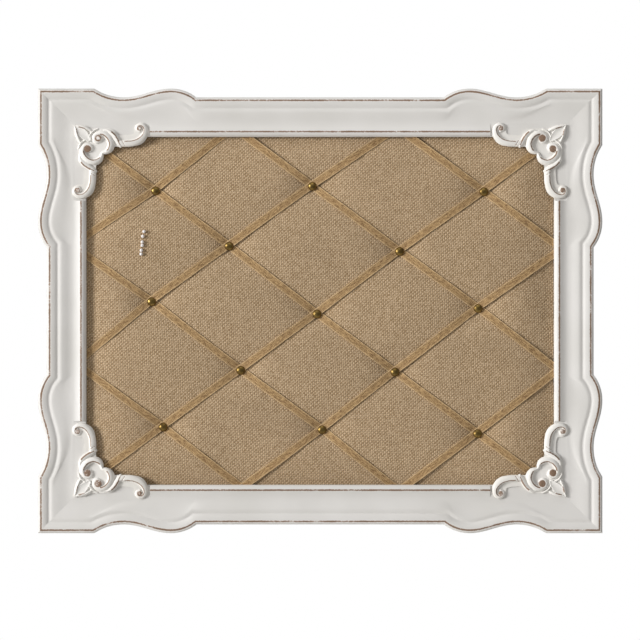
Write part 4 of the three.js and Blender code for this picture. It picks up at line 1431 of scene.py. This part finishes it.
@dataclass
class PaddedPanel:
    """The burlap cover with its folded edges, and the batting under it."""

    quilt: Quilt
    thickness: float = 0.9
    flap: float = 30.0
    flap_rear: float = 3.1
    half: Point = (306.0, 229.8)
    full: float = 24.4
    lines: int = 17  # mesh lines between two tapes
    slack: float = 0.6  # how far under its full height the cloth starts before it is blown up
    cap: float = 1.2  # most that a point moves as it is blown up
    inset: float = 4.0  # the cloth is held down from this far inside the opening
    frames: int = 20
    pad_floor: float = 13.5
    pad_drop: float = 1.5
    pad_full: float = 23.2
    pad_lines: int = 5
    pad_inset: float = 1.0  # how far inside the pin board's edge the batting ends

    def blown(self, piece: bpy.types.Object) -> None:
        """Lets the cloth swell between the tapes that hold it down, as the batting pushes it."""
        mesh = piece.data
        count = len(mesh.vertices)
        rest = np.zeros(count * 3)
        mesh.vertices.foreach_get("co", rest)
        rest = rest.reshape(-1, 3)
        held = np.zeros(count, bool)
        for mark in ("a", "b"):
            numbers = marked(piece, mark)
            held |= np.abs(numbers - np.round(numbers)) < self.quilt.channel + 1e-4
        held |= np.abs(rest[:, 0]) > (SIGHT_X - self.inset) * MM
        held |= np.abs(rest[:, 2]) > (SIGHT_Z - self.inset) * MM
        group = piece.vertex_groups.new(name="held")
        group.add(np.flatnonzero(held).tolist(), 1.0, "REPLACE")
        pick(piece)
        modifier = piece.modifiers.new("Cloth", "CLOTH")
        cloth = modifier.settings
        cloth.vertex_group_mass = group.name
        cloth.mass = 0.25
        cloth.tension_stiffness = cloth.compression_stiffness = 20
        cloth.shear_stiffness = 8
        cloth.bending_stiffness = 4
        cloth.use_pressure = True
        cloth.uniform_pressure_force = 3
        cloth.effector_weights.gravity = 0
        modifier.point_cache.frame_end = self.frames
        for number in range(1, self.frames + 1):
            bpy.context.scene.frame_set(number)
        shaped = piece.evaluated_get(bpy.context.evaluated_depsgraph_get()).data
        moved = np.zeros(count * 3)
        shaped.vertices.foreach_get("co", moved)
        shift = moved.reshape(-1, 3) - rest
        size = np.linalg.norm(shift, axis=1)
        LOG.info("cloth moved by %.2f mm at most, %.2f mm on average", size.max() / MM, size.mean() / MM)
        limit = self.cap * MM
        shift *= (limit * np.tanh(size / limit) / np.maximum(size, 1e-9))[:, None]
        piece.modifiers.remove(modifier)
        mesh.vertices.foreach_set("co", (rest + shift).ravel())
        mesh.update()
        piece.vertex_groups.remove(group)
        bpy.context.scene.frame_set(1)

    def cover(self) -> bpy.types.Object:
        """Makes the burlap cover: quilted front, sides and mitred flaps behind."""
        start = self.full - self.slack
        piece = self.quilt.sheet("burlap_cloth", self.lines, start, 0, self.half)
        self.blown(piece)
        applied(piece, "SUBSURF", levels=1, render_levels=1, boundary_smooth="PRESERVE_CORNERS")
        wall = (self.quilt.outside - self.flap_rear) * MM
        inner = [(side - self.flap) / side for side in self.half]
        with editing(piece):
            select_rim()
            bpy.ops.mesh.extrude_region_move(TRANSFORM_OT_translate={"value": (0, wall, 0)})
            bpy.ops.mesh.extrude_region_move(TRANSFORM_OT_translate={"value": (0, 0, 0)})
            bpy.ops.transform.resize(value=(inner[0], 1, inner[1]), center_override=(0, 0, 0))
        applied(piece, "SOLIDIFY", thickness=self.thickness * MM, offset=-1)
        unmark(piece, "a", "b")
        return piece

    def flat(self) -> tuple[Point, float]:
        """The cut's width and length, and its area once the corners are mitred off, in metres."""
        wall = self.quilt.outside - self.flap_rear
        width, length = [2 * (side + wall + self.flap) for side in self.half]
        x, z = 2 * self.half[0], 2 * self.half[1]
        sides = 2 * (x + z) * wall
        flaps = 2 * self.flap * (x + z - 2 * self.flap)
        return (width * MM, length * MM), (x * z + sides + flaps) * MM**2

    def pad(self) -> bpy.types.Object:
        """Makes the batting that the cover is drawn over."""
        half = (PANEL_X - self.pad_inset, PANEL_Z - self.pad_inset)
        piece = self.quilt.sheet("batting", self.pad_lines, self.pad_full, self.pad_drop, half)
        with editing(piece):
            draw_rim_back(self.pad_floor)
            bpy.ops.mesh.edge_face_add()
            face_outwards()
        unmark(piece, "a", "b")
        return piece

    def build(self) -> bpy.types.Object:
        """Makes and fits the padding and its cover.

        Returns:
            The cover, for the tapes to lie on.
        """
        pad = fit(self.pad(), BATTING, "batting_pad")
        cover = fit(self.cover(), BURLAP, "burlap_cover", crease=60)
        return cover


@dataclass
class TapeLattice:
    """Ten jute tapes drawn tight over the cloth, the rising ones over the falling ones."""

    quilt: Quilt
    cloth: bpy.types.Object
    gap: float = 0.12
    tuck: Point = (302.5, 226.3)  # how far the tapes reach under the lip
    station: float = 3.0
    climb: float = 15.0  # how far from a crossing the upper tape starts to climb
    pressed: float = 6.0  # and how far from one a nail presses a tape flat
    loft: float = 1.7  # how much thicker a tape is where no nail presses it
    uneven: float = 0.5  # how much that varies along it
    lofts: Point = (0.3, 1.5)  # between these parts of it
    lip: Point = (4.0, 24.0)  # how far inside the opening it starts and is full
    falling_shift: float = -0.6  # how far the tapes lie beside their nails, to their right
    rising_shift: float = -1.6
    wander: float = 0.35  # how far they stray from that
    waver: float = 0.03  # how much their width varies
    fray: float = 0.09  # how ragged the edges are
    fine: int = 4000  # points on the line that a tape's stations are found on
    seed: int = 100
    samples: tuple[float, ...] = (-0.95, -0.5, 0, 0.5, 0.95)  # where across a tape the cloth is felt for
    # A tape's section: part of half its width, height over its underside.
    section: tuple[Point, ...] = (
        (-0.9, 0), (0.9, 0), (1, 0.16), (1, 0.6), (0.95, 0.78), (0.86, 0.8), (0.72, 0.7), (0.3, 0.72),
        (0, 0.72), (-0.3, 0.72), (-0.72, 0.7), (-0.86, 0.8), (-0.95, 0.78), (-1, 0.6), (-1, 0.16),
    )

    def __post_init__(self) -> None:
        """Keeps the cloth's surface for finding how high the tapes lie."""
        self.surface = BVHTree.FromObject(self.cloth, bpy.context.evaluated_depsgraph_get())

    def cloth_height(self, x: float, z: float) -> float:
        """The cloth's height at a place."""
        hit = self.surface.ray_cast(Vector((x * MM, -0.1, z * MM)), Vector((0, 1, 0)))[0]
        return -hit.y / MM if hit else self.quilt.outside

    def tape(self, number: int, rising: bool) -> bpy.types.Object:
        """Makes one tape.

        Args:
            number: Which tape, from the middle one.
            rising: Whether it runs up to the right.

        Returns:
            The closed piece, with its length and width in its UV map.
        """
        reach = self.quilt.reach
        fine = np.linspace(-reach + 0.02, reach - 0.02, self.fine)
        fixed = np.full_like(fine, number)
        line = self.quilt.place(fine, fixed) if rising else self.quilt.place(fixed, fine)
        kept = (np.abs(line[:, 0]) < self.tuck[0]) & (np.abs(line[:, 1]) < self.tuck[1])
        line, numbers = line[kept], fine[kept]
        travelled = np.concatenate([[0], np.cumsum(np.linalg.norm(np.diff(line, axis=0), axis=1))])
        stops = np.linspace(0, travelled[-1], int(travelled[-1] / self.station) + 1)
        middle = np.stack([np.interp(stops, travelled, line[:, k]) for k in (0, 1)], axis=1)
        along = np.interp(stops, travelled, numbers)
        dice = np.random.default_rng(self.seed + 10 * number + rising)

        def strayed(span: int, divisor: float) -> np.ndarray:
            """Draws a random number for each station, smoothed over so many stations."""
            draws = dice.normal(size=len(stops) + span - 1)
            return np.convolve(draws, np.hanning(span) / divisor, mode="valid")

        drift = strayed(span=25, divisor=12)
        ahead = np.gradient(middle, axis=0)
        ahead /= np.linalg.norm(ahead, axis=1, keepdims=True)
        across = np.stack([ahead[:, 1], -ahead[:, 0]], axis=1)
        shift = self.rising_shift if rising else self.falling_shift
        middle = middle + across * (drift[:, None] * self.wander + shift)
        half = TAPE_WIDTH / 2 * (1 + self.waver * drift[::-1])
        fray = dice.normal(scale=self.fray, size=(2, len(stops)))
        under = np.array(
            [
                max(self.cloth_height(*(m + c * h * s)) for s in self.samples)
                for m, c, h in zip(middle, across, half)
            ]
        )
        away = np.abs(along - np.round(along)) * np.linalg.norm(self.quilt.step)
        free = smooth_step(away, self.pressed, self.climb)
        if rising:
            under = under + (TAPE_THICKNESS + self.gap) * (1 - free)
        under = np.convolve(np.pad(under, 2, mode="edge"), np.ones(5) / 5, mode="valid") + self.gap
        inside = np.minimum(SIGHT_X - np.abs(middle[:, 0]), SIGHT_Z - np.abs(middle[:, 1]))
        lofted = np.clip(1 + self.uneven * strayed(span=7, divisor=2), *self.lofts) * free
        swollen = 1 + (self.loft - 1) * lofted * smooth_step(inside, *self.lip)
        rings, uv = [], []
        for s, lift in (*self.section, self.section[0]):
            side = middle + across * (s * half + s**4 * fray[int(s > 0)])[:, None]
            rings.append(np.stack([side[:, 0], under + lift * swollen, side[:, 1]], axis=1))
            uv.append(np.stack([np.full_like(stops, s * TAPE_WIDTH / 2), stops], axis=1))
        name = f"{'rising' if rising else 'falling'}_tape_{number + 3}"
        piece = grid_piece(name, np.stack(rings, axis=1))
        table = np.stack(uv, axis=1).reshape(-1, 2) * MM
        corners = np.zeros(len(piece.data.loops), int)
        piece.data.loops.foreach_get("vertex_index", corners)
        piece.data.uv_layers["UVMap"].data.foreach_set("uv", table[corners].ravel())
        return close_up(piece)

    def build(self) -> None:
        """Makes and fits the ten tapes."""
        for rising in (False, True):
            for number in range(-2, 3):
                piece = self.tape(number, rising)
                cad = f"{'rising' if rising else 'falling'}_ribbon_{number + 3}"
                fit(piece, TAPE, cad, crease=35)


@dataclass
class Fixings:
    """Nails and pins at the front, and everything that holds and hangs the board behind."""

    nail_radius: float = 5.75
    nail_dome: float = 4.0
    pin_radius: float = 2.15
    pin_length: float = 20.0
    screw_radius: float = 3.4
    screw_head: float = 1.8
    recess: tuple[float, float, float] = (3.4, 2.2, 0.8)  # length, depth and width of one slot of the cross
    wire: float = 1.25
    wire_sides: int = 16
    ring_points: int = 120
    strap_width: float = 12.0
    strap_plate: float = 1.0
    strap_length: float = 26.0
    strap_roll: float = 1.55
    strap_foot: Point = (20.0, 6.3)  # how far below the bar its foot rounds off, and over what length
    strap_edge: float = 0.18
    nails: int = 13
    pins: int = 6
    screws: int = 6
    nail_turn: float = 2.4  # how far each nail is turned from the last, in radians
    screw_turn: float = 0.7

    @staticmethod
    def dome(radius: float, height: float, start: float, stop: float, rings: int) -> list[Point]:
        """Lays out a dome to be turned.

        Args:
            radius: Its radius.
            height: Its height.
            start: Where it starts over its equator, as an angle.
            stop: How far short of its top it stops, as an angle.
            rings: How many rings it has.

        Returns:
            Radius and height of each ring.
        """
        angles = np.linspace(start, math.pi / 2 - stop, rings)
        return [(radius * math.cos(a), height * math.sin(a)) for a in angles]

    def nail(self) -> bpy.types.Object:
        """Turns the pattern of a domed upholstery nail, its seat at height 0."""
        r = self.nail_radius
        foot = [(0.15, -12), (0.85, -10.4), (0.9, -0.4), (r - 0.9, -0.35), (r - 0.25, -0.5), (r - 0.02, -0.2)]
        cap = self.dome(r, self.nail_dome, start=0.12, stop=0.02, rings=12)
        return turned_piece("nail_pattern", [*foot, *cap], sides=40)

    def pearl(self) -> bpy.types.Object:
        """Turns the pattern of a pin's bead, its middle at height 0."""
        r = self.pin_radius
        profile = self.dome(r, r, start=-math.pi / 2 + 0.12, stop=0.02, rings=17)
        return turned_piece("pearl_pattern", profile, sides=32)

    def shaft(self) -> bpy.types.Object:
        """Turns the pattern of a pin's shaft."""
        profile = [(0.05, -self.pin_length), (0.42, 2.4 - self.pin_length), (0.45, 3 - self.pin_length)]
        return turned_piece("shaft_pattern", [*profile, (0.45, -1.2), (0.4, -1.1)], sides=16)

    def screw(self) -> bpy.types.Object:
        """Turns the pattern of a pan-head screw facing the rear, and cuts its cross recess."""
        r, head = self.screw_radius, self.screw_head
        cap = self.dome(1.04 * r, head, start=0.35, stop=0.08, rings=8)
        profile = [(0.1, -12), (1.3, -9.6), (1.4, -0.1), (r - 0.1, 0), (r, 0.3), *cap]
        piece = turned_piece("screw_pattern", profile, sides=32)
        for turn in (0, math.pi / 2):
            clear_selection()
            bpy.ops.mesh.primitive_cube_add(size=1, location=(0, -head * MM, 0), rotation=(0, turn, 0))
            cutter = bpy.context.object
            cutter.scale = Vector(self.recess) * MM
            bpy.ops.object.transform_apply()
            applied(piece, "BOOLEAN", operation="DIFFERENCE", object=cutter, solver="EXACT")
            discard(cutter)
        piece.data.transform(Matrix.Rotation(math.pi, 4, "X"))
        return piece

    def ring(self) -> bpy.types.Object:
        """Bends the pattern of a D-ring from wire, hanging from its bar at the origin."""
        half = [(3.5, 0), (6.8, -0.2), (8.3, -2.2), (7.6, -7.5), (4.6, -12)]
        route = [(0, 0), *half, (0, -13.7), *[(-x, z) for x, z in reversed(half)]]
        line = through(route, self.ring_points, closed=True)
        ahead = np.roll(line, -1, axis=0) - np.roll(line, 1, axis=0)
        ahead /= np.linalg.norm(ahead, axis=1, keepdims=True)
        turn = np.linspace(0, 2 * math.pi, self.wire_sides + 1)
        out = np.stack([ahead[:, 1], -ahead[:, 0]], axis=1)
        flat = line[:, None, :] + out[:, None, :] * np.cos(turn)[None, :, None] * self.wire
        height = np.broadcast_to(np.sin(turn) * self.wire, flat.shape[:2])
        points = np.stack([flat[..., 0], height, flat[..., 1]], axis=-1)
        return close_up(grid_piece("ring_pattern", np.concatenate([points, points[:1]])))

    def strap(self) -> bpy.types.Object:
        """Rolls the pattern of a hanger strap round the bar at the origin, with a rounded foot."""
        half, roll = self.strap_width / 2, self.strap_roll
        outside = roll + self.strap_plate
        begin, length = self.strap_foot
        rows = []  # half the width, then height and z of the inside and of the outside
        for down in (self.strap_length, *np.linspace(22, 2, 8)):
            narrow = math.sqrt(max(0.05, 1 - max(0, (down - begin) / length) ** 2))
            rows.append((half * narrow, (roll, -down), (outside, -down)))
        for a in np.linspace(math.pi, -0.6 * math.pi, 28):
            way = np.array([-math.cos(a), math.sin(a)])
            rows.append((half, way * roll, way * outside))
        points = [
            [(-w, *inner), (w, *inner), (w, *outer), (-w, *outer), (-w, *inner)] for w, inner, outer in rows
        ]
        piece = close_up(grid_piece("strap_pattern", np.array(points, float)))
        return applied(piece, "BEVEL", width=self.strap_edge * MM, segments=2, limit_method="ANGLE")

    def bumper(self) -> bpy.types.Object:
        """Turns the pattern of a wall bumper facing the rear, its seat at height 0."""
        profile = [(5.2, 0), (5.9, 0.15), (6, 0.7), (5.6, 3.0), (5.2, 4.8), (4.9, 5.3), (4.4, 5.5)]
        piece = turned_piece("bumper_pattern", [*profile, (1.2, 5.5), (1, 5.1), (0.1, 5.0)], sides=36)
        piece.data.transform(Matrix.Rotation(math.pi, 4, "X"))
        return piece

    def front(self) -> None:
        """Fits the nails and the pins."""
        nail, pearl, shaft = self.nail(), self.pearl(), self.shaft()
        for number in range(1, self.nails + 1):
            low, _, (x, z) = cad_box(f"nail_{number}")
            turn = Matrix.Rotation(self.nail_turn * number, 4, "Y")
            place = at(x, -low.y - self.nail_dome, z) @ turn
            fit(copied(nail, f"domed_nail_{number}", place), BRASS, f"nail_{number}")
        for number in range(1, self.pins + 1):
            low, _, (x, z) = cad_box(f"pearl_pin_{number}")
            place = at(x, -low.y - self.pin_radius, z)
            body = f"pin_{number}"
            bead = copied(pearl, f"pin_bead_{number}", place)
            fit(bead, PEARL, f"pearl_pin_{number}", body)
            fit(copied(shaft, f"pin_shaft_{number}", place), STEEL, None, body)
        for pattern in (nail, pearl, shaft):
            discard(pattern)

    def rear(self) -> None:
        """Fits the screws, hangers and bumpers."""
        screw, ring, strap, bumper = self.screw(), self.ring(), self.strap(), self.bumper()
        places = [f"backing_screw_{number}" for number in range(1, self.screws + 1)]
        places += ["left_hanger_screw", "right_hanger_screw"]
        for number, name in enumerate(places):
            _, high, (x, z) = cad_box(name)
            turn = Matrix.Rotation(self.screw_turn * number, 4, "Y")
            move = at(x, -high.y + self.screw_head, z) @ turn
            fit(copied(screw, f"{name}_driven", move), STEEL, name)
        for side in ("left", "right"):
            low, high, (x, _) = cad_box(f"{side}_d_ring")
            bar = at(x, -(low.y + high.y) / 2, high.z - self.wire)
            fit(copied(ring, f"{side}_ring_wire", bar), STEEL, f"{side}_d_ring", f"{side}_ring")
            fit(copied(strap, f"{side}_strap_rolled", bar), STEEL, f"{side}_hanger_strap")
            low, _, (x, z) = cad_box(f"{side}_bumper")
            pad = copied(bumper, f"{side}_bumper_pad", at(x, -low.y, z))
            fit(pad, RUBBER, f"{side}_bumper")
        for pattern in (screw, ring, strap, bumper):
            discard(pattern)

    def carried_over(self) -> None:
        """Gives the CAD nodes that keep their own shape their finishes."""
        finishes = {"pin_board": FIBREBOARD, "backing_board": HARDBOARD}
        finishes |= {f"{corner.value[0]}_v_nail": STEEL for corner in Corner}
        for name, finish in finishes.items():
            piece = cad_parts[name]
            for slot in piece.material_slots:
                slot.material = finish.material()
            LOG.info("%s keeps its shape", name)

    def build(self) -> None:
        """Fits them all."""
        self.front()
        self.rear()
        self.carried_over()


@dataclass
class Studio:
    """A pale floor far below, a soft key light from the left, weaker ones round it, and the camera."""

    camera_place: tuple[float, float, float] = (-0.0002, -4.0, -0.0115)
    lens: float = 177.6
    sensor: float = 36.0
    floor_drop: float = 3.0
    floor_radius: float = 5.3
    floor_colour: str = "#e6e4e0"
    floor_roughness: float = 0.9
    key_way: tuple[float, float, float] = (-1.9, -1.0, 0.3)
    key_distance: float = 12.0
    key_size: float = 4.0
    key_power: float = 1530.0
    overhead_place: tuple[float, float, float] = (0.0, -1.0, 1.6)
    overhead_size: float = 1.4
    overhead_power: float = 6.0
    rear_place: tuple[float, float, float] = (2.4, 4.2, 2.6)
    rear_size: float = 2.5
    rear_power: float = 210.0
    fill_below: float = 0.06  # how bright the room is below, and above
    fill_above: float = 0.42
    white: float = 1.0

    def camera(self) -> None:
        """Puts the camera square to the board, as far off as the photograph's flat view asks."""
        lens = bpy.data.cameras.new("camera")
        lens.lens, lens.sensor_width = self.lens, self.sensor
        camera = bpy.data.objects.new("camera", lens)
        camera.location = self.camera_place
        camera.rotation_euler = (math.pi / 2, 0, 0)
        bpy.context.scene.collection.objects.link(camera)
        bpy.context.scene.camera = camera

    def floor(self) -> None:
        """Lays the pale floor."""
        clear_selection()
        bpy.ops.mesh.primitive_circle_add(
            vertices=96, radius=self.floor_radius, fill_type="NGON", location=(0, 0, -self.floor_drop)
        )
        floor = named(bpy.context.object, "floor")
        material = bpy.data.materials.new("pale_floor")
        material.use_nodes = True
        shader = material.node_tree.nodes["Principled BSDF"]
        shader.inputs["Base Color"].default_value = linear(self.floor_colour)
        shader.inputs["Roughness"].default_value = self.floor_roughness
        floor.data.materials.append(material)

    def lights(self) -> None:
        """Hangs the key light, a softer one overhead and one behind, and lights the room, brighter above than
        below.
        """
        for name, place, size, power in (
            ("key", Vector(self.key_way).normalized() * self.key_distance, self.key_size, self.key_power),
            ("overhead", Vector(self.overhead_place), self.overhead_size, self.overhead_power),
            ("rear", Vector(self.rear_place), self.rear_size, self.rear_power),
        ):
            light = bpy.data.lights.new(name, "AREA")
            light.shape, light.size, light.energy = "DISK", size, power
            lamp = bpy.data.objects.new(name, light)
            lamp.location = place
            lamp.rotation_euler = place.to_track_quat("Z", "Y").to_euler()
            bpy.context.scene.collection.objects.link(lamp)
        world = bpy.data.worlds.new("room")
        world.use_nodes = True
        bpy.context.scene.world = world
        tree = world.node_tree
        tree.nodes.clear()
        way = node(tree, "SeparateXYZ", {0: node(tree, "TexCoord").outputs["Generated"]})
        fill = ranged(tree, way.outputs["Z"], (-1.0, 1.0), (self.fill_below, self.fill_above))
        seen = node(tree, "LightPath").outputs["Is Camera Ray"]
        strength = node(tree, "Mix", {0: seen, 2: fill, 3: self.white})
        room = node(tree, "Background", {"Color": (1, 1, 1, 1), "Strength": strength})
        node(tree, "OutputWorld", {"Surface": room})
        bpy.context.scene.view_settings.view_transform = "Standard"

    def build(self) -> None:
        """Sets up the studio."""
        self.camera()
        self.floor()
        self.lights()


def main() -> None:
    """Builds the studio and then the board, piece by piece."""
    logging.basicConfig(level=logging.INFO, format="%(name)s: %(message)s")
    Studio().build()
    quilt = Quilt()
    cover = PaddedPanel(quilt).build()
    TapeLattice(quilt, cover).build()
    CarvedFrame().build()
    CornerCarving().build()
    Fixings().build()


if __name__ == "__main__":
    main()
